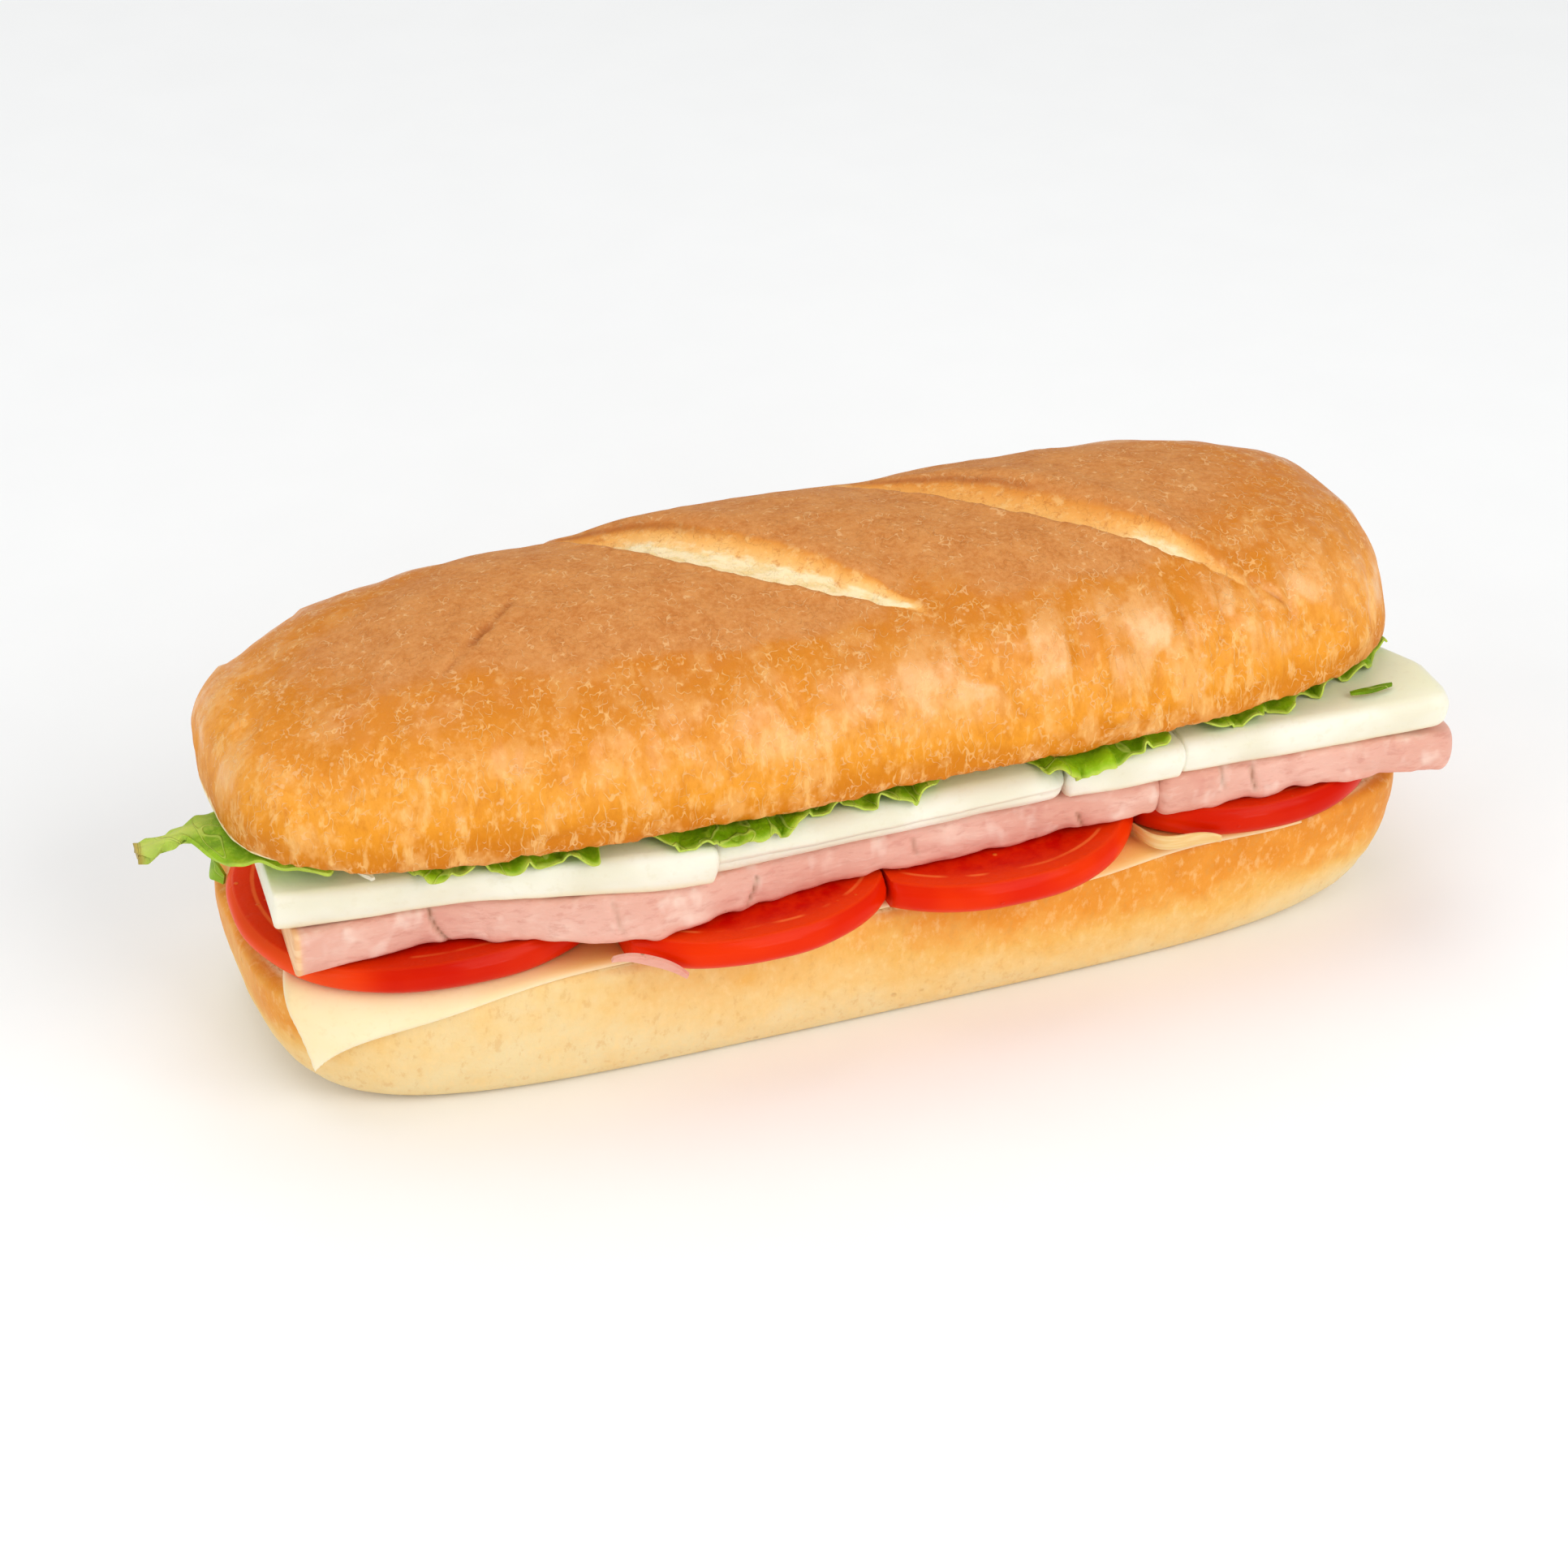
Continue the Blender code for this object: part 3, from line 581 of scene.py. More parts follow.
def white_cheese_finish():
    """Ivory cheese: soft and a little see-through, with faint scuffs and a few dark flecks.

    The marks are top, a painted green-tinted reflection and shade on the upper face, and low, a painted
    warmer shade on the foot.
    """
    made = Finish("white_cheese_look", 1.42, 0.25, (0.20, 0.003, (1.0, 0.85, 0.55)))
    here = made.place()
    soft = made.noise(here, 60.0)
    fine = made.noise(here, 520.0, 3.0, 0.6)
    flecks = made.specks(made.place((0.55, 1.0, 1.0)), 120.0, (0.045, 0.075), 55.0, (0.56, 0.60))
    body = made.over(
        tint(232, 226, 202),
        (soft.step(0.35, 0.65), (242, 238, 220)),
        # Painted light: a green-tinted reflection and shade on the upper face, and a warmer shade on the
        # foot.
        (made.mark("top"), (236, 234, 200)),
        (made.mark("low") * 0.75, (236, 218, 178)),
        (fine.step(0.45, 0.30) * 0.20, (222, 212, 178)),
        (flecks * 0.75, (138, 122, 84)),
    )
    return made.done(body, 0.34 + fine * 0.12, fine * 0.35 + soft * 0.8 - flecks * 0.4, 0.00025)


def yellow_cheese_finish():
    """Thin pale yellow cheese, smooth and waxy.

    The marks are painted_warm_shade, a painted orange shade with the reflected colour of the crust, juice, a
    green-yellow wet patch, and its pale rim.
    """
    made = Finish("yellow_cheese_look", 1.42, 0.20, (0.15, 0.002, (1.0, 0.7, 0.3)))
    here = made.place()
    soft = made.noise(here, 45.0)
    fine = made.noise(here, 600.0, 2.0, 0.6)
    body = made.over(
        tint(250, 228, 178),
        (soft.step(0.30, 0.70), (252, 236, 198)),
        # Painted orange shade, with the reflected colour of the crust.
        (made.mark("painted_warm_shade"), (237, 178, 98)),
        (made.mark("juice") * 0.75, (224, 186, 66)),
        (made.mark("rim") * 0.5, (255, 244, 214)),
        (fine.step(0.45, 0.28) * 0.18, (234, 204, 146)),
    )
    return made.done(body, 0.40 + fine * 0.12, fine * 0.25 + soft, 0.00020)


def ham_finish():
    """Cooked ham: pale pink with lighter clouds, painted pale highlights, darker grain along the fold, and a
    tan rind.

    The marks are foot, the low edge, redder with painted shade and with green herb specks, crack, painted
    dark shade in the cracks, and rind with its fine layers.
    """
    made = Finish("ham_look", 1.42, 0.25, (0.14, 0.002, (1.0, 0.5, 0.4)))
    fat = made.noise(made.place((0.7, 1.0, 1.1)), 95.0, 3.0, 0.55, 0.4)
    broad = made.noise(made.place((0.6, 1.0, 1.0)), 34.0)
    grain = made.noise(made.place((0.45, 1.0, 1.6)), 420.0, 4.0, 0.65)
    # Pale glints: a painted highlight, a little smoother and raised as well.
    painted_glints = made.noise(made.place((1.0, 1.0, 0.7)), 190.0).step(0.55, 0.74)
    layers = made.noise(made.place((0.2, 0.2, 1.0)), 700.0, 1.0)
    herbs = made.specks(made.place(), 330.0, (0.10, 0.18), 120.0, (0.54, 0.60))
    flesh = made.over(
        tint(222, 162, 142),
        (broad.step(0.30, 0.70), (232, 180, 162)),
        (fat.step(0.50, 0.72) * 0.75, (240, 204, 186)),
        (fat.step(0.42, 0.26) * 0.50, (210, 138, 122)),
        (grain.step(0.48, 0.32) * 0.35, (202, 130, 114)),
        (grain.step(0.55, 0.70) * 0.30, (240, 202, 184)),
        # Painted highlight.
        (painted_glints * 0.50, (248, 224, 208)),
        # The foot is redder with painted shade; its green specks are herbs.
        (made.mark("foot") * 0.35, (226, 118, 92)),
        (made.mark("foot") * herbs * 0.80, (120, 108, 40)),
        # Painted dark shade in the cracks.
        (made.mark("crack") * 0.85, (138, 98, 56)),
    )
    rind = made.over(tint(236, 184, 130), (layers.step(0.42, 0.56), (246, 204, 156)))
    flesh = made.mix(made.mark("rind") * 0.90, flesh, rind)
    relief = grain * 0.6 + fat * 1.8 + painted_glints * 0.3 + made.mark("rind") * layers * 0.4
    return made.done(flesh, 0.40 + grain * 0.16 - painted_glints * 0.12, relief, 0.00045)


def tomato_finish():
    """Tomato: glossy skin, and a cut face whose wall is brighter than the flesh inside it.

    The marks are wall, the share of the way from the slice's middle to its edge, and skin. The first
    slice is lighter at its left end, and the first and last slices are a deeper red.
    """
    made = Finish("tomato_look", 1.45, 0.06, (0.05, 0.002, (1.0, 0.15, 0.05)), 0.08)
    here = made.place()
    wet = made.noise(here, 300.0, 3.0, 0.6)
    soft = made.noise(here, 60.0)
    wall = made.mark("wall")
    on_skin = made.mark("skin")
    along = made.axis("X")
    left_end = 1.0 - along.step(-0.116, -0.100)
    ripe = along.step(-0.108, -0.098) * (1.0 - along.step(-0.062, -0.054)) + along.step(0.060, 0.068)
    line = (1.0 - abs(wall - 0.905).step(0.004, 0.016)) * made.noise(here, 110.0, 1.0).step(0.42, 0.55)
    bits = made.specks(here, 260.0, (0.06, 0.16), 100.0, (0.56, 0.62))
    skin = made.over(tint(220, 32, 0), (soft.step(0.3, 0.7), (234, 52, 2)), (left_end * 0.6, (244, 92, 34)))
    flesh = made.over(
        tint(206, 10, 0),
        (wet.step(0.35, 0.65), (220, 36, 2)),
        (wall.step(0.80, 0.97), (232, 56, 6)),
        (line * 0.75, (248, 120, 56)),
        (bits * 0.7, (246, 128, 48)),
    )
    body = made.over(made.mix(on_skin, flesh, skin), (ripe * 0.45, (184, 8, 0)))
    relief = wet * (1.0 - on_skin) * 1.2 + soft * 0.5 + bits * 0.6
    return made.done(body, 0.34 - on_skin * 0.04, relief, 0.00025, 0.08 - on_skin * 0.04)


def leaf_finish():
    """Lettuce: fresh yellow-green with paler veins.

    The marks are deep, painted shade where the leaf lies inside and in the troughs of its frill, rim, rib,
    which is white-green, and brown, the dry cut of the rib's tip.
    """
    made = Finish("lettuce_look", 1.42, 0.18, (0.12, 0.0015, (0.6, 1.0, 0.08)))
    here = made.place()
    soft = made.noise(here, 110.0)
    crinkle = made.noise(here, 480.0, 4.0, 0.65, 0.2)
    veins = made.lines(made.place((1.0, 0.6, 1.0)), 130.0, 0.018, 0.6)
    green = made.over(
        tint(108, 154, 4),
        (soft.step(0.30, 0.70), (154, 198, 20)),
        (crinkle.step(0.50, 0.72) * 0.55, (190, 212, 62)),
        (crinkle.step(0.46, 0.32) * 0.35, (92, 118, 4)),
        # Painted shade where the leaf lies inside and in the troughs of its frill.
        (made.mark("deep"), (84, 100, 6)),
        (veins * 0.55, (200, 218, 96)),
        (made.mark("rim") * 0.70, (206, 222, 96)),
        (made.mark("rib") * 0.85, (198, 210, 104)),
        (made.mark("brown") * 0.75, (178, 140, 72)),
    )
    return made.done(green, 0.40 + crinkle * 0.12, crinkle * 0.9 + soft * 1.2 + veins * 0.6, 0.00035)


def onion_finish():
    """A pale golden, half-clear strip with fine lines along it."""
    made = Finish("onion_look", 1.40, None, (0.40, 0.003, (1.0, 0.6, 0.25)))
    fibre = made.noise(made.place((0.4, 0.4, 3.0)), 420.0)
    body = made.over(tint(238, 192, 122), (fibre.step(0.38, 0.62), (242, 204, 142)))
    return made.done(body, 0.20 + fibre * 0.08, fibre, 0.00003)


# The upper roll.


def slash_places():
    """Each slash's place, run and sizes, worked out once."""
    for start, end, *sizes in SLASHES:
        run = np.subtract(end, start)
        length = np.hypot(*run)
        yield np.array(start), run / length, length, *sizes


def slash_relief(x, y):
    """How far the crust is sunk at a plan point, and the look of the cut there.

    A broad valley runs along each slash. The near edge of the cut drops sharply under a thin lip,
    and the cut face climbs gently back to the far lobe, which stands up a little. The look is three
    numbers: crumb, cut (1 at the near edge, falling to 0 on the far lobe) and singe_and_crease_shade, which
    here is only the dark baked rim of the cut; the painted shade of the creases and valleys joins it later.
    """
    sunk, crumb, cut, singe_and_crease_shade = (np.zeros(x.shape) for _ in range(4))
    for start, run, length, bow, band, depth, crumb_start, crumb_end in slash_places():
        along = ((x - start[0]) * run[0] + (y - start[1]) * run[1]) / length
        beside = (y - start[1]) * run[0] - (x - start[0]) * run[1]
        beside = beside - bow * 4.0 * np.clip(along, 0.0, 1.0) * (1.0 - np.clip(along, 0.0, 1.0))
        edge = beside + 0.00025 * np.sin(along * 47.0) + 0.00015 * np.sin(along * 113.0 + 1.0)
        open_share = between(along, -0.05, 0.20, 0.80, 1.04)
        fade = between(along, -0.20, 0.10, 0.95, 1.15)
        narrowing = np.maximum(1.0 - np.clip((along - 0.50) / 0.56, 0.0, 1.0) ** 1.7, 0.20)
        width = band * (0.3 + 0.7 * ramp(along, -0.05, 0.35)) * narrowing
        sunk += SLASH_VALLEY_DEPTH * fade * bump(edge, 0.4 * width, SLASH_VALLEY_REACH)
        sunk += depth * open_share * between(edge, -0.0003, 0.0008, 0.2 * width, 1.1 * width)
        sunk -= SLASH_LIP * open_share * bump(edge, 1.15 * width, 0.35 * width)
        sunk -= 0.4 * SLASH_LIP * open_share * bump(edge, -0.0012, 0.0012)
        inside = ramp(edge, -0.0001, 0.0005)
        across = np.clip(edge / width, 0.0, 1.0)
        shown = between(along, crumb_start - 0.16, crumb_start + 0.08, crumb_end - 0.06, crumb_end + 0.04)
        uneven = 0.05 * clouds(np.stack([x, y, 0.0 * x], axis=-1), 0.0060, 47)
        crumb = np.maximum(crumb, inside * shown * (1.0 - ramp(across + uneven, 0.34, 0.82)))
        cut = np.maximum(cut, inside * fade * (1.0 - across**1.5) * (0.46 + 0.54 * shown))
        singe_and_crease_shade = np.maximum(singe_and_crease_shade, between(along, 0.0, 0.1, 0.30, 0.60) * bump(across, 0.86, 0.08))
    return sunk, crumb, cut, singe_and_crease_shade


def crease_depth(points):
    """Short grooves in the crust: a bell of each one's depth round the straight line between its ends."""
    depth = np.zeros(points.shape[:-1])
    for start, end, half_width, most in CREASES:
        run = np.subtract(end, start)
        share = np.clip((points - start) @ run / (run @ run), 0.0, 1.0)
        away = np.linalg.norm(points - (start + share[..., None] * run), axis=-1)
        wander = 1.0 + 0.3 * np.sin(share * 9.0)
        taper = 1.0 - 0.6 * (2.0 * share - 1.0) ** 2
        depth = np.maximum(depth, most * bump(away, 0.0, half_width * wander) * taper)
    return depth


def upper_surface(share, turn):
    """The dome: superellipse sections lofted along the roll. Returns points, height and slope.

    share runs from -1 to 1 along the roll, and turn goes round the section from the front rim,
    over the top, to the back rim. Below the widest line the wall turns in to the flat cut.
    """
    plan = (1.0 - np.abs(share) ** UPPER_PLAN_POWER) ** (1.0 / UPPER_PLAN_POWER)
    power = np.where(share < 0.0, UPPER_LEFT_POWER, UPPER_RIGHT_POWER)
    rise = UPPER_RISE * (1.0 - np.abs(share) ** power) ** (1.0 / power)
    drop = UPPER_WIDEST * (1.0 - share**8) ** 0.125
    side, lift = np.cos(turn), np.sin(turn)
    under = np.clip(-lift / np.sin(UPPER_RIM_TURN), 0.0, 1.0)
    x = UPPER_HALF_LENGTH * share + 0.0 * turn
    y = -UPPER_HALF_WIDTH * plan * signed_power(side, 0.85)
    above = rise * np.clip(lift, 0.0, 1.0) ** 0.92
    z = UPPER_BASE + UPPER_WIDEST + above - drop * np.sin(0.5 * np.pi * under) ** 0.9
    slope = unit(np.stack([0.0 * x, y / UPPER_HALF_WIDTH**2, above / UPPER_RISE**2], axis=-1))
    return np.stack([x + UPPER_MIDDLE[0], y + UPPER_MIDDLE[1], z], axis=-1), above, slope, plan


UPPER_ROWS = 402
UPPER_OVER_POINTS = 200
UPPER_RIM_POINTS = 8


def build_upper_roll(finish):
    """The dome with its slashes, then dents, creases, valleys, plates and pits along its normals.

    The rows are spaced evenly along the plan's outline. The low edge is roughened, and a flat base closes
    it. The cap is where a rounded oblong in plan, roughened by noise, is not left yet.
    """
    corner = np.linspace(-0.5 * np.pi, 0.5 * np.pi, 4001)
    share = signed_power(np.sin(corner), 2.0 / UPPER_PLAN_POWER)
    width = np.cos(corner) ** (2.0 / UPPER_PLAN_POWER) * UPPER_HALF_WIDTH / UPPER_HALF_LENGTH
    share, _ = along_curve(share, width, UPPER_ROWS)
    share = share[1:-1, None]
    over = np.linspace(0.0, np.pi, UPPER_OVER_POINTS)
    rim = UPPER_RIM_TURN * np.linspace(1.0, 0.12, UPPER_RIM_POINTS)
    turn = np.concatenate([-rim, over, np.pi + rim[::-1]])[None, :]
    points, above, slope, plan = upper_surface(share, turn)
    x, y = points[..., 0], points[..., 1]
    sunk, crumb, cut, singe_and_crease_shade = slash_relief(x, y)
    show = ramp(above, 0.002, 0.018)
    points = points - (sunk * show)[..., None] * slope
    outward = grid_normals(points)
    outward = outward * np.sign(np.sum(outward * slope, axis=-1, keepdims=True) + 1e-9)
    calm = ramp(plan, 0.05, 0.35) * ramp(above, 0.0, 0.004)
    wall = 1.0 - ramp(above, 0.016, 0.027)
    dents = clouds(points, 0.014, 3) * 0.00045 + clouds(points, 0.0055, 5) * 0.00012
    creases = clouds(points, CREASE_CELLS, 8) * wall
    deep = (0.00030 + 0.00060 * bump(x, RUGGED_MIDDLE, 0.034)) * creases
    valley = bump(clouds(points, VALLEY_CELLS, 8, 1), 0.0, 0.15)
    valley = valley * ramp(clouds(points, VALLEY_GROUP_CELLS, 9, 1), -0.3, 0.1)
    valley = valley * wall * bump(x, RUGGED_MIDDLE, 0.036)
    raised = ramp(clouds(points, PLATE_CELLS, PLATE_SEED, 1), -0.20, 0.20)
    deep = deep - 0.00090 * valley + 0.00070 * raised * wall
    pits = -0.0006 * ramp(clouds(points, 0.0075, 12, 1), 0.45, 0.85) * wall
    groove = crease_depth(points)
    push = calm * (dents + deep + pits) + 0.00018 * crumb * clouds(points, 0.0016, 21) - groove
    points = points + push[..., None] * outward
    low = (1.0 - ramp(above, 0.0, 0.002)) * ramp(plan, 0.05, 0.3)
    rough_edge = clouds(points, 0.0022, 31) * 0.0006 + clouds(points, 0.012, 33) * 0.0004
    points[..., 2] += low * rough_edge
    cap_x = np.abs((x - CAP_MIDDLE[0]) / CAP_HALF_LENGTH)
    cap_y = np.abs((y - CAP_MIDDLE[1]) / CAP_HALF_WIDTH)
    from_middle = (cap_x**CAP_POWER + cap_y**CAP_POWER) ** (1.0 / CAP_POWER)
    cap = 1.0 - ramp(from_middle + 0.10 * clouds(points, 0.018, 41), 0.86, 1.16)
    cap = cap * (1.0 - 0.9 * np.clip(2.0 * cut, 0.0, 1.0))
    for place_x, place_y in SLASH_GLOWS:
        cap = cap * (1.0 - 0.95 * bump(np.hypot(x - place_x, y - place_y), 0.0, SLASH_GLOW_REACH))
    # The dark rim of the slashes, with painted shade added in the creases and the valleys of the side.
    singe_and_crease_shade = np.maximum(np.maximum(singe_and_crease_shade, ramp(groove, 0.0002, 0.0009)), 0.16 * valley)
    # The smooth plates of the side, whose lighter colour in the finish is a painted highlight.
    swell = clouds(points, PLATE_CELLS, PLATE_SEED, 1)
    plate_sheen = ramp(swell, -0.02, 0.09) * (1.0 - ramp(valley, 0.15, 0.60))
    plate_sheen = plate_sheen * wall * ramp(above, 0.006, 0.014) * bump(x, 0.045, 0.052)
    gloss = ramp(from_middle, 0.95, 1.20) * ramp(above, 0.003, 0.009)
    under_share = np.concatenate([[0.012], np.linspace(0.04, 0.96, 14), [0.988]])[None, :, None]
    front, back = points[:, :1], points[:, -1:]
    base = back + (front - back) * under_share
    base[..., 2] = UPPER_BASE + 0.0002 + 0.0002 * clouds(base, 0.003, 51)
    rings = np.concatenate([points, base], axis=1)
    looks = {"cap": cap, "cut": cut * show, "singe_and_crease_shade": singe_and_crease_shade * show, "gloss": gloss, "plate_sheen": plate_sheen}
    flat = np.zeros(base.shape[:2])
    marks = {mark: np.concatenate([numbers, flat], axis=1) for mark, numbers in looks.items()}
    marks["crumb"] = np.concatenate([crumb * show, flat + 1.0], axis=1)
    add_loft("upper_roll", rings, finish, "bread_upper", marks)


LOWER_POINTS = 620
LOWER_SIDE_ROWS = 46
LOWER_RIM_ROWS = 8


def build_lower_roll(finish):
    """Rings of one rounded outline: over the flat base, up the side, round the rim and over the cut face.

    Soft dents are pushed into the side along its normals. The mark bake grows upwards and to the right.
    """
    outline = oval(LOWER_HALF_LENGTH, LOWER_HALF_WIDTH, LOWER_PLAN_POWER, LOWER_POINTS)
    wall = LOWER_HEIGHT - LOWER_RIM_ROUND
    turn = np.linspace(0.0, 0.5 * np.pi, LOWER_SIDE_ROWS)
    side_share = LOWER_BASE_SHARE + (1.0 - LOWER_BASE_SHARE) * np.sin(turn) ** (2.0 / LOWER_SIDE_POWER)
    side_height = wall * (1.0 - np.cos(turn) ** (2.0 / LOWER_SIDE_POWER))
    side_share, side_height = along_curve(side_share * LOWER_HALF_WIDTH, side_height, LOWER_SIDE_ROWS)
    side_share = side_share / LOWER_HALF_WIDTH
    rim = np.linspace(0.0, 0.5 * np.pi, LOWER_RIM_ROWS)[1:]
    rim_share = 1.0 - LOWER_RIM_ROUND * (1.0 - np.cos(rim)) / LOWER_HALF_WIDTH
    base_share = np.array([0.05, 0.3, 0.6, 0.78])
    top_share = rim_share[-1] - np.array([0.01, 0.03, 0.08, 0.15, 0.3, 0.6, 0.9])
    share = np.concatenate([base_share, side_share, rim_share, top_share])
    height = np.concatenate(
        [0.0 * base_share, side_height, wall + LOWER_RIM_ROUND * np.sin(rim), 0.0 * top_share + LOWER_HEIGHT]
    )
    x = outline[None, :, 0] * share[:, None]
    y = outline[None, :, 1] * share[:, None]
    swell = 1.0 + 0.006 * np.sin(x / 0.021 + 0.8) * np.sin(np.pi * height / LOWER_HEIGHT)[:, None]
    rings = np.stack([x, y * swell, np.broadcast_to(height[:, None], x.shape)], axis=-1)
    outward = ring_normals(rings)
    outward = outward * np.sign(np.sum(outward * (rings - [0.0, 0.0, 0.014]), axis=-1, keepdims=True))
    free = between(height, 0.0005, 0.006, 0.0262, LOWER_HEIGHT - 0.0002)
    dents = clouds(rings, 0.013, 61) * 0.0004 + clouds(rings, 0.0045, 63) * 0.00012
    dents = dents - 0.0005 * ramp(clouds(rings, (0.004, 0.02, 0.012), 65, 1), 0.5, 0.9)
    rings = rings + (free[:, None] * dents)[..., None] * outward
    x, z = rings[..., 0], rings[..., 2]
    upward = ramp(z, 0.001, 0.024)
    right = ramp(x, -0.080, 0.055)
    left_end = 1.0 - ramp(x, -0.119, -0.104)
    right_end = ramp(x, 0.075, 0.112)
    bake = upward * (0.22 + 0.46 * right) + 0.16 * right
    bake = bake + 0.55 * left_end * ramp(z, 0.009, 0.021) - 0.30 * right_end * (1.0 - ramp(z, 0.006, 0.014))
    cut = ramp(height, LOWER_HEIGHT - 0.0006, LOWER_HEIGHT - 0.0001)[:, None] + 0.0 * x
    marks = {"bake": np.clip(bake, 0.0, 1.0), "crumb": cut}
    add_loft("lower_roll", rings, finish, "bread_lower", marks)


# The yellow cheese.


def over_rim(plan, outline, bend, level):
    """Lays a flat sheet over an outline: what reaches past it turns down on an arc and then hangs.

    plan is the sheet spread flat. A point keeps its distance from the nearest point of the outline.
    """
    offset = plan[:, :, None, :] - outline[None, None, :, :]
    nearest = np.argmin(np.sum(offset**2, axis=-1), axis=-1)
    before = outline[nearest - 1]
    after = outline[(nearest + 1) % len(outline)]
    tangent = unit(after - before)
    half_step = 0.5 * np.linalg.norm(after - before, axis=-1)
    slide = np.sum((plan - outline[nearest]) * tangent, axis=-1)
    foot = outline[nearest] + tangent * np.clip(slide, -0.5 * half_step, 0.5 * half_step)[..., None]
    outward = np.stack([tangent[..., 1], -tangent[..., 0]], axis=-1)
    away = np.sum((plan - foot) * outward, axis=-1)
    signed = np.where(away > 0.0, np.linalg.norm(plan - foot, axis=-1), 0.0)
    turn = np.minimum(signed / bend, 0.5 * np.pi)
    rest = signed - bend * turn
    out = bend * np.sin(turn)
    down = bend * (1.0 - np.cos(turn)) + rest
    direction = unit(plan - foot)
    placed = np.where(signed[..., None] > 0.0, foot + direction * out[..., None], plan)
    return np.concatenate([placed, (level - down)[..., None]], axis=-1)


# Each slice: its number, its corners spread flat, from the front left round to the back left, and how
# much painted orange shade its colour takes.
YELLOW_SLICES = (
    (1, ((-0.1227, -0.0435), (-0.0480, -0.0400), (-0.0465, 0.0320), (-0.1030, 0.0270)), 0.0),
    (2, ((-0.0455, -0.0402), (0.0310, -0.0406), (0.0315, 0.0370), (-0.0450, 0.0370)), 0.60),
    (3, ((0.0325, -0.0436), (0.0900, -0.0395), (0.0990, 0.0300), (0.0330, 0.0370)), 0.90),
)
RIM_SET_BACK = 0.0032
YELLOW_BEND = RIM_SET_BACK + 0.0022
JUICE_MIDDLE = 0.058
JUICE_REACH = 0.009


def build_yellow_cheese(finish):
    """Thin slices on the lower roll. What reaches past the rim hangs down its side in a soft curve."""
    outline = oval(LOWER_HALF_LENGTH - RIM_SET_BACK, LOWER_HALF_WIDTH - RIM_SET_BACK, LOWER_PLAN_POWER, 900)
    level = YELLOW_LOW + 0.5 * YELLOW_THICK
    back = np.concatenate([np.linspace(0.0, 0.5, 64), np.linspace(0.5, 1.0, 12)[1:]])[:, None, None]
    along = np.linspace(0.0, 1.0, 120)[None, :, None]
    for number, corners, shade_warmth in YELLOW_SLICES:
        corner = np.array(corners)
        wave = 0.0004 * np.sin(along * 9.0 + number) * (1.0 - back)
        front_edge = corner[0] + (corner[1] - corner[0]) * along
        back_edge = corner[3] + (corner[2] - corner[3]) * along
        plan = front_edge + (back_edge - front_edge) * back + wave * np.array([0.0, 1.0])
        middle = over_rim(plan, outline, YELLOW_BEND, level)
        edge = np.minimum(np.minimum(back, 2.0 * (1.0 - back)), np.minimum(along, 1.0 - along))[..., 0]
        thick = YELLOW_THICK * (0.30 + 0.70 * ramp(edge, 0.0, 0.014))
        hanging = ramp(level - middle[..., 2], 0.001, 0.008)
        juice = bump(middle[..., 0], JUICE_MIDDLE, JUICE_REACH) * hanging * (1.0 if number == 3 else 0.0)
        # Painted orange shade and reflected crust colour: more on the flat part and at the front, less where
        # it hangs, none at the back.
        painted_warm_shade = shade_warmth * (1.0 - 0.3 * hanging) + 0.30 * ramp(-edge, -0.010, 0.0) * shade_warmth
        painted_warm_shade = painted_warm_shade + 0.15 * (1.0 - hanging)
        if number == 1:
            painted_warm_shade = painted_warm_shade + 0.80 * ramp(along[..., 0], 0.45, 0.90)
        painted_warm_shade = painted_warm_shade * (1.0 - ramp(back[..., 0], 0.15, 0.55))
        marks = {"juice": juice, "painted_warm_shade": np.clip(painted_warm_shade, 0.0, 1.0), "rim": 1.0 - ramp(edge, 0.0, 0.012)}
        node = f"yellow_cheese_{number}"
        add_sheet(f"yellow_slice_{number}", middle, thick, finish, node, marks)


# The tomatoes.


# Each tomato slice: middle, half length, half width, and where its neighbours cut it off.
TOMATOES = (
    ((-0.0840, -0.0050), 0.0380, 0.0360, (-0.200, -0.0548)),
    ((-0.0285, -0.0185), 0.0348, 0.0348, (-0.0542, -0.0014)),
    ((0.0230, -0.0165), 0.0356, 0.0356, (-0.0008, 0.0557)),
    ((0.0814, -0.0130), 0.0320, 0.0316, (0.0563, 0.200)),
)
TOMATO_POWER = 2.2
TOMATO_SKIN = 0.0016
TOMATO_POINTS = 220
TOMATO_SIDE_ROWS = 17


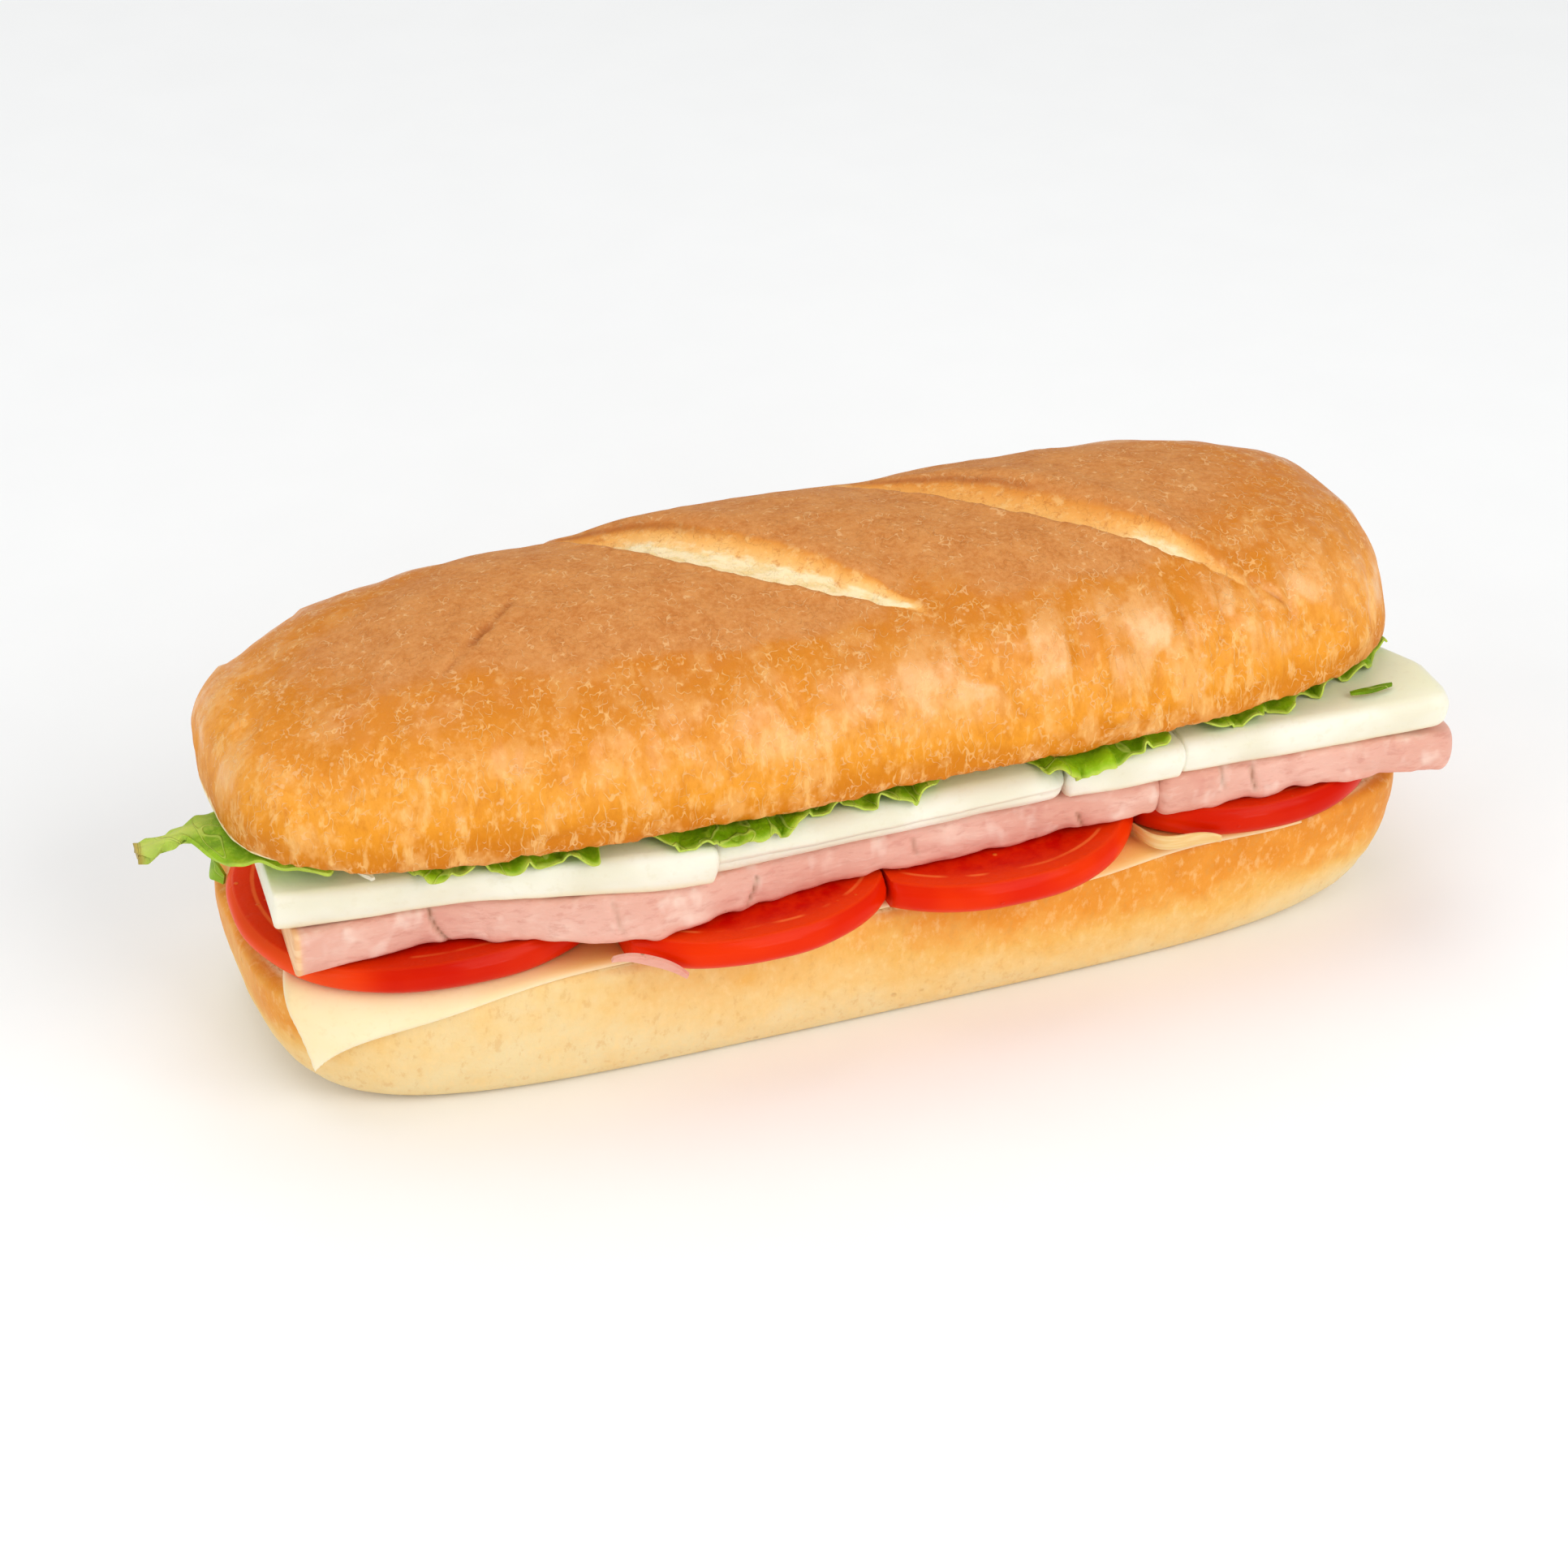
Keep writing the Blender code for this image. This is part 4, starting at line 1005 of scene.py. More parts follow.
def build_tomatoes(finish):
    """Round slices with a bulging skin between two cut faces. Where two meet, both end at a line.

    inward holds the rings of a face as shares of its outline. The upper face is sunk a little inside.
    """
    level = np.linspace(0.0, 1.0, TOMATO_SIDE_ROWS)
    side_pull = TOMATO_SKIN * np.abs(2.0 * level - 1.0) ** 2.4
    inward = np.array([0.03, 0.2, 0.4, 0.6, 0.72, 0.80, 0.86, 0.90, 0.93, 0.96, 0.985])
    for number, (middle, half_length, half_width, cut) in enumerate(TOMATOES, start=1):
        outline = oval(half_length, half_width, TOMATO_POWER, TOMATO_POINTS)
        outward = unit(outline)
        edge = outline - outward * TOMATO_SKIN
        face = edge[None] * inward[:, None, None]
        side = outline[None] - outward[None] * side_pull[:, None, None]
        flat = np.concatenate([face, side, face[::-1]]) + middle
        z = np.concatenate([0.0 * inward, TOMATO_THICK * level, 0.0 * inward + TOMATO_THICK]) + TOMATO_LOW
        rings = np.concatenate([flat, np.broadcast_to(z[:, None, None], flat.shape[:2] + (1,))], axis=-1)
        wall = np.concatenate([inward, np.ones(len(level)), inward[::-1]])
        skin = np.concatenate([0.0 * inward, ramp(np.abs(2.0 * level - 1.0), 1.0, 0.9), 0.0 * inward])
        sway = clouds(rings, 0.016, 70 + number) * 0.00035
        rings[..., :2] += sway[..., None] * outward[None]
        sunk = bump(wall, 0.80, 0.07) * 0.00025 + (1.0 - ramp(wall, 0.3, 0.9)) * 0.0002
        rings[len(inward) + len(level) :, :, 2] -= sunk[len(inward) + len(level) :, None]
        rings[..., 0] = np.clip(rings[..., 0], *cut)
        rings[..., 2] -= left_sag(rings[..., 0]) * (rings[..., 2] - TOMATO_LOW) / TOMATO_THICK
        marks = {"wall": wall[:, None], "skin": skin[:, None]}
        node = f"tomato_{number}"
        add_loft(f"tomato_slice_{number}", rings, finish, node, marks, TOMATO_SHARP_DEGREES)


# Ham and white cheese.


# How much less a round end loses in height than in width.
END_SQUASH = 0.35


def slab(x, front_low, front_high, back, low, high, rounding, end_rounds):
    """Rounded oblong sections along x, each of 4 arcs and 4 straight sides.

    Near each end the section shrinks by a quarter circle of that end's round.
    """
    inset = np.zeros_like(x)
    for reach, end_round in ((x - x[0], end_rounds[0]), (x[-1] - x, end_rounds[1])):
        near = np.clip(end_round - reach, 0.0, end_round)
        inset = np.maximum(inset, np.minimum(end_round - np.sqrt(end_round**2 - near**2), 0.85 * end_round))
    rounding = np.maximum(np.minimum(rounding, 0.45 * (high - low) - END_SQUASH * inset), 0.0002)
    arc = np.linspace(0.0, 0.5 * np.pi, 9)
    sides = (
        (front_high + inset, high - END_SQUASH * inset, 1.0, -1.0, arc, 34),
        (back - inset, high - END_SQUASH * inset, -1.0, -1.0, arc[::-1], 8),
        (back - inset, low + END_SQUASH * inset, -1.0, 1.0, arc, 20),
        (front_low + inset, low + END_SQUASH * inset, 1.0, 1.0, arc[::-1], 16),
    )
    corners = []
    for y_edge, z_edge, y_in, z_in, angles, _ in sides:
        turn = angles[None, :]
        y = y_edge[:, None] + y_in * rounding[:, None] * (1.0 - np.cos(turn))
        z = z_edge[:, None] + z_in * rounding[:, None] * (1.0 - np.sin(turn))
        corners.append(np.stack([np.broadcast_to(x[:, None], y.shape), y, z], axis=-1))
    parts = []
    for place, (*_, between) in enumerate(sides):
        start, end = corners[place][:, -1:], corners[(place + 1) % 4][:, :1]
        share = np.linspace(0.0, 1.0, between + 2)[1:-1][None, :, None]
        parts += [corners[place], start + (end - start) * share]
    return np.concatenate(parts, axis=1)


def stations(start, end, end_rounds, step):
    """Places along x: evenly spaced, and closer together in the round of each end."""
    lead = 1.0 - np.cos(np.linspace(0.0, 0.5 * np.pi, 9)[:-1])
    left, right = end_rounds
    middle = np.linspace(start + left, end - right, int((end - start) / step))
    return np.concatenate([start + left * lead, middle, (end - right * lead)[::-1]])


def lean_end(rings, lean, from_depth=0.0, right=False):
    """Slants one end of a slab: what lies further back than a depth moves in, more towards that end."""
    x, y = rings[..., 0], rings[..., 1]
    share = (np.max(x) - x) / (np.max(x) - np.min(x))
    if right:
        share = share - 1.0
    moved = rings.copy()
    moved[..., 0] = x + lean * share * np.maximum(y - np.min(y) - from_depth, 0.0)
    return moved


# The left end of both: they sink over the first tomato slice, and both lean, more at the back.
LEFT_END = -0.118
LEFT_SAG = 0.0016
LEFT_LEAN = 0.08


def ham_front(x):
    """The front edge of the ham, which bulges over the first gap between the tomatoes."""
    left = 0.0070 * ramp(x, -0.060, -0.092)
    return -0.0410 + left - 0.0028 * bump(x, -0.046, 0.018) - 0.0030 * ramp(x, 0.070, 0.118)


def ham_foot(x):
    """How much further the low edge of the ham reaches out than its top edge."""
    return 0.0036 * bump(x, -0.052, 0.018) - 0.0004


def left_sag(x):
    """How far the layers over the first tomato slice sink towards the left end."""
    return LEFT_SAG * (1.0 - ramp(x, LEFT_END, -0.084))


def seam(x):
    """The slight wave of the joint between ham and white cheese."""
    return 0.0004 * np.sin(x / 0.023 + 0.5) - 0.0007 * (1.0 - ramp(x, LEFT_END, -0.090))


HAM_JOIN = 0.0575

# Each fold of ham: its ends, and the round of each end.
HAM_FOLDS = (
    (1, -0.1178, HAM_JOIN - GAP, (0.0008, 0.0030)),
    (2, HAM_JOIN + GAP, 0.1210, (0.0012, 0.0034)),
)
HAM_DROOP = 0.0016
HAM_STEP = 0.0007
HAM_BACK = 0.0420
HAM_ROUNDING = 0.0018
CRACK_HALF_WIDTH = 0.00045

# Curved cracks in the front of the ham: place along x, how far each leans over its height, depth, and the
# shares of the height that it runs between.
HAM_CRACKS = (
    (-0.0916, 0.0041, 0.0014, 0.0, 1.0),
    (0.0385, 0.0030, 0.0006, 0.05, 0.6),
    (0.0040, 0.0024, 0.0004, 0.3, 0.8),
    (0.0765, 0.0022, 0.0006, 0.2, 0.9),
    (0.0700, 0.0026, 0.0004, 0.4, 1.0),
    (-0.0285, -0.0030, 0.0006, 0.1, 0.8),
    (-0.0575, 0.0020, 0.0003, 0.2, 0.9),
)


def build_ham(finish):
    """Two thick folds of ham, end to end, with a rippled front, curved cracks and a rind on the left.

    The front is pushed along its normals by three noises, a belly, and a groove and lip for each crack.
    """
    for number, start, end, rounds in HAM_FOLDS:
        x = stations(start, end, rounds, HAM_STEP)
        front = ham_front(x)
        back = HAM_BACK + 0.0015 * np.sin(x / 0.017)
        low = np.full_like(x, HAM_LOW)
        high = HAM_LOW + HAM_THICK + seam(x)
        rings = slab(x, front - ham_foot(x), front, back, low, high, HAM_ROUNDING + 0.0 * x, rounds)
        outward = slab_normals(rings)
        at_x, at_y, at_z = rings[..., 0], rings[..., 1], rings[..., 2]
        level = (at_z - HAM_LOW) / HAM_THICK
        facing = ramp(-at_y, 0.030, 0.038)
        swell = clouds(rings, (0.011, 0.05, 0.009), 81) * 0.0007
        ripple = clouds(rings, (0.0036, 0.05, 0.006), 83) * 0.00036
        scallop = clouds(rings, (0.0065, 0.05, 0.05), 85) * bump(level, 0.06, 0.16) * 0.0007
        belly = 0.0007 * np.sin(np.pi * np.clip(level, 0.0, 1.0)) * facing
        push = facing * (swell + ripple + scallop) + belly
        crack = np.zeros_like(at_x)
        for place, lean, depth, low_share, high_share in HAM_CRACKS:
            curve = place + lean * (1.0 - level) ** 2
            within = between(level, low_share - 0.05, low_share + 0.15, high_share - 0.1, high_share)
            groove = within * bump(at_x, curve, CRACK_HALF_WIDTH)
            push = push - depth * groove * facing
            push = push + 0.5 * depth * within * facing * bump(at_x, curve - 0.0016, 0.0012)
            # The cracks' grooves take a painted dark shade.
            crack = np.maximum(crack, groove * facing * depth / 0.0010)
        rings = rings + push[..., None] * outward
        # The foot takes a painted redder shade along the low front edge.
        foot = facing * (1.0 - ramp(level, 0.02, 0.30))
        rind = 1.0 - ramp(at_x - np.min(at_x), 0.0008, 0.0018) if number == 1 else 0.0 * at_x
        if number == 1:
            rings = lean_end(rings, LEFT_LEAN)
        rings[..., 2] -= HAM_DROOP * ramp(rings[..., 0], 0.104, 0.121) + left_sag(rings[..., 0])
        marks = {"foot": foot, "rind": rind, "crack": crack}
        add_loft(f"ham_fold_{number}", rings, finish, f"ham_{number}", marks)


# Each slice of white cheese: ends, front edge at both ends, edge rounding and the round of each end.
WHITE_SLICES = (
    (-0.1206, -0.0380, -0.0310, -0.0475, 0.0014, (0.0007, 0.0010)),
    (-0.0372, 0.0352, -0.0448, -0.0452, 0.0036, (0.0010, 0.0034)),
    (0.0360, 0.0600, -0.0440, -0.0445, 0.0018, (0.0008, 0.0007)),
    (0.0608, 0.1188, -0.0436, -0.0455, 0.0024, (0.0007, 0.0034)),
)


WHITE_STEP = 0.0008
WHITE_BACK = 0.0425
# The last slice leans the other way, further back than a depth.
RIGHT_LEAN = 0.50
RIGHT_LEAN_DEPTH = 0.0145


def build_white_cheese(finish):
    """Four thick folded slices, end to end, with a soft round front and slight dents."""
    for number, (start, end, front_start, front_end, rounding, rounds) in enumerate(WHITE_SLICES, 1):
        x = stations(start, end, rounds, WHITE_STEP)
        front = front_start + (front_end - front_start) * (x - start) / (end - start)
        back = WHITE_BACK + 0.0012 * np.sin(x / 0.013 + 1.0)
        low = WHITE_LOW + seam(x)
        high = np.full_like(x, WHITE_TOP)
        rings = slab(x, front + 0.0006, front, back, low, high, rounding + 0.0 * x, rounds)
        outward = slab_normals(rings)
        level = (rings[..., 2] - WHITE_LOW) / WHITE_THICK
        facing = ramp(front[:, None] + 0.006 - rings[..., 1], 0.0, 0.005)
        dents = clouds(rings, (0.022, 0.03, 0.008), 90 + number) * 0.0005
        dents = dents + clouds(rings, (0.006, 0.02, 0.004), 95 + number) * 0.0001
        belly = 0.0005 * np.sin(np.pi * np.clip(level, 0.0, 1.0))
        rings = rings + (facing * (dents + belly))[..., None] * outward
        # top: a green-tinted painted reflection and shade on the upper face; low: a painted warmer shade on
        # the foot of the front.
        top = ramp(level, 0.90, 0.99) * (1.0 - 0.5 * facing)
        marks = {"top": top, "low": facing * (1.0 - ramp(level, 0.0, 0.28))}
        rings[..., 2] -= left_sag(rings[..., 0])
        if number == 1:
            rings = lean_end(rings, LEFT_LEAN)
        if number == len(WHITE_SLICES):
            rings = lean_end(rings, RIGHT_LEAN, RIGHT_LEAN_DEPTH, right=True)
        node = f"white_cheese_{number}"
        add_loft(f"white_slice_{number}", rings, finish, node, marks)


# The lettuce.


def white_front(x):
    """The front edge of the white cheese, read off its slices."""
    edge = np.full_like(x, WHITE_SLICES[0][2])
    for start, end, front_start, front_end, *_ in WHITE_SLICES:
        share = np.clip((x - start) / (end - start), 0.0, 1.0)
        edge = np.where(x >= start, front_start + (front_end - front_start) * share, edge)
    return edge


def upper_front(x):
    """The front edge of the upper roll's outline."""
    share = np.clip(np.abs(x - UPPER_MIDDLE[0]) / UPPER_HALF_LENGTH, 0.0, 1.0)
    return UPPER_MIDDLE[1] - UPPER_HALF_WIDTH * (1.0 - share**UPPER_PLAN_POWER) ** (1.0 / UPPER_PLAN_POWER)


# Each leaf: its ends, and where its front edge lies at both ends.
LEAVES = {
    2: (-0.0980, -0.0560, -0.0360, -0.0415),
    3: (-0.0550, 0.0130, -0.0415, -0.0405),
    4: (0.0260, 0.0610, -0.0400, -0.0405),
    5: (0.0610, 0.1140, -0.0385, -0.0265),
}
# The lobes along the leaves' front edges: place along x, how far each reaches out, and its half width.
LOBES = (
    (-0.0905, 0.0035, 0.0030), (-0.0845, 0.0020, 0.0025), (-0.0760, 0.0040, 0.0040),
    (-0.0690, 0.0020, 0.0025), (-0.0620, 0.0040, 0.0040), (-0.0455, 0.0034, 0.0034),
    (-0.0385, 0.0055, 0.0050), (-0.0300, 0.0065, 0.0055), (-0.0225, 0.0050, 0.0040),
    (-0.0150, 0.0026, 0.0030), (-0.0065, 0.0048, 0.0038), (0.0015, 0.0052, 0.0042),
    (0.0085, 0.0036, 0.0036), (0.0300, 0.0044, 0.0030), (0.0345, 0.0055, 0.0032),
    (0.0390, 0.0065, 0.0038), (0.0445, 0.0060, 0.0038), (0.0505, 0.0042, 0.0035),
    (0.0555, 0.0030, 0.0028), (0.0690, 0.0060, 0.0045), (0.0765, 0.0070, 0.0040),
    (0.0845, 0.0080, 0.0040), (0.0930, 0.0070, 0.0040), (0.1015, 0.0045, 0.0035),
    (0.1075, 0.0035, 0.0035),
)
LEAF_BEND = 0.0030
LEAF_BACK = 0.0440
LEAF_END_PULL = 0.0050
LEAF_RUFFLE_REACH = 0.012
LEAF_SINK = 0.0008
LEAF_LEAST_FRONT = -0.026
LEAF_CLEARANCE = 0.0008
LEAF_COLUMNS = 230


def build_leaf(number, start, end, reach_start, reach_end, finish):
    """A thin leaf from front to back, with lobes along its front edge, that turns down past the cheese.

    The front edge is a line plus a bell for each lobe. The ruffle is a sum of sines along the edge
    whose height grows towards it. Between cheese and roll it stays inside the gap.
    """
    share = np.linspace(0.0, 1.0, LEAF_COLUMNS)[:, None]
    front_rows = np.linspace(0.0, 0.18, 40)
    across = np.concatenate([front_rows, np.linspace(0.18, 0.84, 12)[1:-1], np.linspace(0.84, 1.0, 20)])
    across = across[None, :]
    x = start + (end - start) * share + 0.0 * across
    side = np.minimum(share, 1.0 - share)
    reach = reach_start + (reach_end - reach_start) * share + LEAF_END_PULL * (1.0 - ramp(side, 0.0, 0.12))
    for place, more, width in LOBES:
        if start < place < end:
            reach = reach - more * bump(x[:, :1], place, width)
    at_edge = np.concatenate([x[:, :1], 0.0 * x[:, :1], 0.0 * x[:, :1]], axis=1)[:, None, :]
    teeth = clouds(at_edge, 0.0018, 100 + number) * 0.0005 + clouds(at_edge, 0.0050, 110 + number) * 0.0006
    front = np.minimum(reach, LEAF_LEAST_FRONT) + teeth
    back = LEAF_BACK - 0.003 + 0.0024 * np.sin(x[:, :1] / 0.0037) - teeth
    spread = front + (back - front) * across
    edge = white_front(x) - LEAF_CLEARANCE
    past = np.clip(edge - spread, 0.0, 0.02)
    turn = np.minimum(past / LEAF_BEND, 0.5 * np.pi)
    rest = past - LEAF_BEND * turn
    y = np.where(past > 0.0, edge - LEAF_BEND * np.sin(turn), spread)
    inward = np.minimum(spread - front, 1.4 * (back - spread))
    near = np.clip(1.0 - inward / LEAF_RUFFLE_REACH, 0.0, 1.0)
    z = LEAF_MIDDLE - LEAF_SINK * near - LEAF_BEND * (1.0 - np.cos(turn)) - rest
    middle = np.stack([x, y, z], axis=-1)
    normal = grid_normals(middle)
    normal = normal * np.sign(normal[..., 2:] - normal[..., 1:2])
    frill = 0.0011 * np.sin(x / 0.00145 + number - 90.0 * inward)
    frill = frill + 0.0006 * np.sin(x / 0.00074 + 160.0 * inward)
    frill = frill + 0.0004 * clouds(middle, 0.0035, 120 + number)
    middle = middle + (near**1.3 * frill)[..., None] * normal
    middle[..., 0] += 0.0006 * near * np.sin(x / 0.0011 + 0.6)
    outside = ramp(upper_front(x) + 0.002 - middle[..., 1], 0.0, 0.003)
    middle[..., 2] = np.minimum(middle[..., 2], UPPER_BASE - LEAF_THICK + 0.003 * outside)
    lying = WHITE_TOP + 0.8 * LEAF_THICK
    middle[..., 2] = np.where(past > 0.0, middle[..., 2], np.maximum(middle[..., 2], lying))
    rim = np.maximum(1.0 - ramp(inward, 0.0, 0.0010), 1.0 - ramp(side, 0.0, 0.02))
    # Painted shade: darker where the leaf lies inside, and in the troughs of the frill near its edge.
    deep = 0.75 * ramp(inward, 0.004, 0.010) + 0.25 * np.clip(-frill / 0.0012, 0.0, 1.0) * near
    thick = LEAF_THICK * (1.0 - 0.45 * rim)
    marks = {"rim": rim, "deep": deep}
    add_sheet(f"leaf_{number}", middle, thick, finish, f"lettuce_{number}", marks)


# The leaf at the left end: both ends of its rib, how far its blade reaches to each side, and the rib.
RIB_TIP = (-0.1400, -0.0090)
RIB_END = (-0.1010, -0.0060)
BLADE_FRONT = 0.0225
BLADE_BACK = 0.0200
RIB_HALF_WIDTH = 0.0023
RIB_THICK = 0.0024


def build_end_leaf(finish):
    """A thick rib that sticks out of the left end, with a thin frilled blade that widens from it.

    The blade's width on each side is a sum of smooth steps along the rib. Its waves are sines that grow
    towards the edge, and the rib is thickest along its middle.
    """
    share = np.linspace(0.0, 1.0, 110)[:, None]
    across = signed_power(np.linspace(-1.0, 1.0, 121), 1.3)[None, :]
    x = RIB_TIP[0] + (RIB_END[0] - RIB_TIP[0]) * share
    y = RIB_TIP[1] + (RIB_END[1] - RIB_TIP[1]) * share
    front_widen = 0.56 * ramp(share, 0.22, 0.36) + 0.44 * ramp(share, 0.34, 0.76)
    front_widen = front_widen * (1.0 - 0.5 * ramp(share, 0.76, 1.0))
    widen = np.where(across < 0.0, front_widen, ramp(share, 0.52, 0.95))
    half = RIB_HALF_WIDTH + np.where(across < 0.0, BLADE_FRONT, BLADE_BACK) * widen
    half = half * (1.0 + 0.05 * np.sin(34.0 * share + 1.0) * widen)
    inside = ramp(share, 0.20, 0.45)
    wave = 0.0006 * np.sin(18.0 * share + 2.0 * across) * np.abs(across) * (1.0 - 0.5 * inside)
    wave = wave + 0.0004 * np.sin(52.0 * share + 5.0 * across) * np.abs(across) ** 2 * (1.0 - 0.5 * inside)
    droop = 0.0030 * (1.0 - ramp(x, -0.1400, -0.1235)) * np.ones_like(across)
    x = x + 0.0015 * widen * np.abs(across)
    middle = np.stack([x, y + half * across, LEAF_MIDDLE - droop + wave], axis=-1)
    ridge = np.clip(1.0 - np.abs(half * across) / (1.3 * RIB_HALF_WIDTH), 0.0, 1.0) ** 0.5
    thick = LEAF_THICK + (RIB_THICK - LEAF_THICK) * ridge * (1.0 - 0.55 * inside)
    rim = ramp(np.abs(across), 0.955, 1.0) * widen
    rib = 0.85 * ridge * (1.0 - 0.75 * inside) + 0.20 * (1.0 - widen)
    brown = np.maximum(1.0 - ramp(share, 0.0, 0.045), 0.0) + 0.0 * across
    marks = {"rim": rim, "rib": np.clip(rib, 0.0, 1.0), "brown": brown}
    add_sheet("leaf_1", middle, thick, finish, "lettuce_1", marks)


# Small pieces.


# Each narrow strip: its name, node and slot, three points of its route, the way that it is wide, its half
# width, its thickness and its marks.
STRIPS = (
    (
        ("ham_scrap", "ham_shred", "ham"),
        ((-0.0590, -0.0470, 0.0350), (-0.0520, -0.0490, 0.0362), (-0.0455, -0.0515, 0.0308)),
        # The scrap takes the ham's painted redder shade.
        ((0.35, -0.35, 0.87), 0.0010, 0.0009, {"foot": 0.7}),
    ),
    (
        ("leaf_shred", "lettuce_shred", "lettuce"),
        (
            (0.0985, -0.0395, WHITE_TOP + 0.0011),
            (0.1020, -0.0405, WHITE_TOP + 0.0016),
            (0.1080, -0.0390, WHITE_TOP + 0.0010),
        ),
        # The shred takes some painted shade.
        ((0.2, 0.98, 0.0), 0.0008, 0.0006, {"deep": 0.5}),
    ),
    (
        ("leaf_curl", "lettuce_curl", "lettuce"),
        (
            (-0.1197, 0.0115, LOWER_HEIGHT + 0.0028),
            (-0.1228, 0.0155, LOWER_HEIGHT + 0.0042),
            (-0.1190, 0.0205, LOWER_HEIGHT + 0.0028),
        ),
        ((0.2, 0.0, 0.98), 0.0022, 0.0007, {"rim": 0.2, "deep": 0.1}),
    ),
    (
        ("cheese_sliver", None, "white_cheese"),
        (
            (-0.1034, -0.0305, WHITE_TOP + 0.0006),
            (-0.1022, -0.0330, WHITE_TOP + 0.0010),
            (-0.1012, -0.0351, WHITE_TOP + 0.0006),
        ),
        ((0.95, 0.2, 0.0), 0.0008, 0.0007, {}),
    ),
)
STRIP_ROWS = 40
STRIP_COLUMNS = 9


def build_strips(finishes):
    """Narrow strips, widest in the middle, with a curl across them.

    A route is a quadratic curve through its first and last point, with its handle at the second.
    """
    share = np.linspace(0.0, 1.0, STRIP_ROWS)[:, None]
    across = np.linspace(-1.0, 1.0, STRIP_COLUMNS)[None, :, None]
    taper = (1.0 - 0.55 * np.abs(2.0 * share - 1.0) ** 2)[:, None, :]
    for (name, node, slot), route, (width_run, half_width, thick, marks) in STRIPS:
        first, handle, last = (np.array(point) for point in route)
        line = (1.0 - share) ** 2 * first + 2.0 * share * (1.0 - share) * handle + share**2 * last
        spread = half_width * taper * across * np.array(width_run)
        curl = 0.15 * half_width * across**2 * np.sin(9.0 * share)[:, None, :] * np.array([0.0, 0.0, 1.0])
        add_sheet(name, line[:, None, :] + spread + curl, thick, finishes[slot], node, marks)


# The arc of the onion round the last tomato slice, in degrees, and its gap, bow, height and thickness.
ONION_DEGREES = (215.0, 249.0)
ONION_GAP = 0.0016
ONION_BOW = 0.0050
ONION_HEIGHT = 0.0034
ONION_THICK = 0.0006


def build_onion(finish):
    """A thin curved strip that stands round the left end of the last tomato slice and bows away from it."""
    middle, half_length, _, _ = TOMATOES[-1]
    degrees = np.linspace(*ONION_DEGREES, 100)[:, None]
    level = np.linspace(0.0, 1.0, 14)[None, :]
    radius = half_length + ONION_GAP + ONION_BOW * bump(degrees, 230.0, 10.0) + 0.0007 * (level - 0.3)
    x = middle[0] + radius * np.cos(np.radians(degrees))
    y = middle[1] + radius * np.sin(np.radians(degrees))
    z = TOMATO_LOW + 0.0003 + ONION_HEIGHT * level * np.sin(np.pi * (degrees - 213.0) / 38.0) ** 0.4
    thick = ONION_THICK * (0.6 + 0.4 * np.sin(np.pi * level)) + 0.0 * degrees
    add_sheet("onion_curl", np.stack([x, y, z], axis=-1), thick, finish, "onion_strip", {})


# The stage.


def aim(thing, place, target):
    """Moves a light or the camera to a place and points it at a target, upright."""
    toward = (Vector(target) - Vector(place)).normalized()
    thing.matrix_world = Matrix.Translation(place) @ toward.to_track_quat("-Z", "Y").to_matrix().to_4x4()


# The lamps: name, place, both sides and watts.
LAMPS = (
    ("window", (0.55, -1.05, 0.98), (1.0, 0.8), 8.6),
    ("low_front", (0.30, -1.10, 0.32), (0.35, 0.25), 1.6),
    ("left_fill", (-1.25, -0.30, 0.60), (1.0, 0.8), 4.4),
    ("overhead", (-0.25, 0.35, 1.60), (1.2, 1.2), 8.0),
)
SKY_COLOUR = (0.97, 0.985, 1.0, 1.0)
SKY_STRENGTH = 0.52
FLOOR_HALF = 3.0


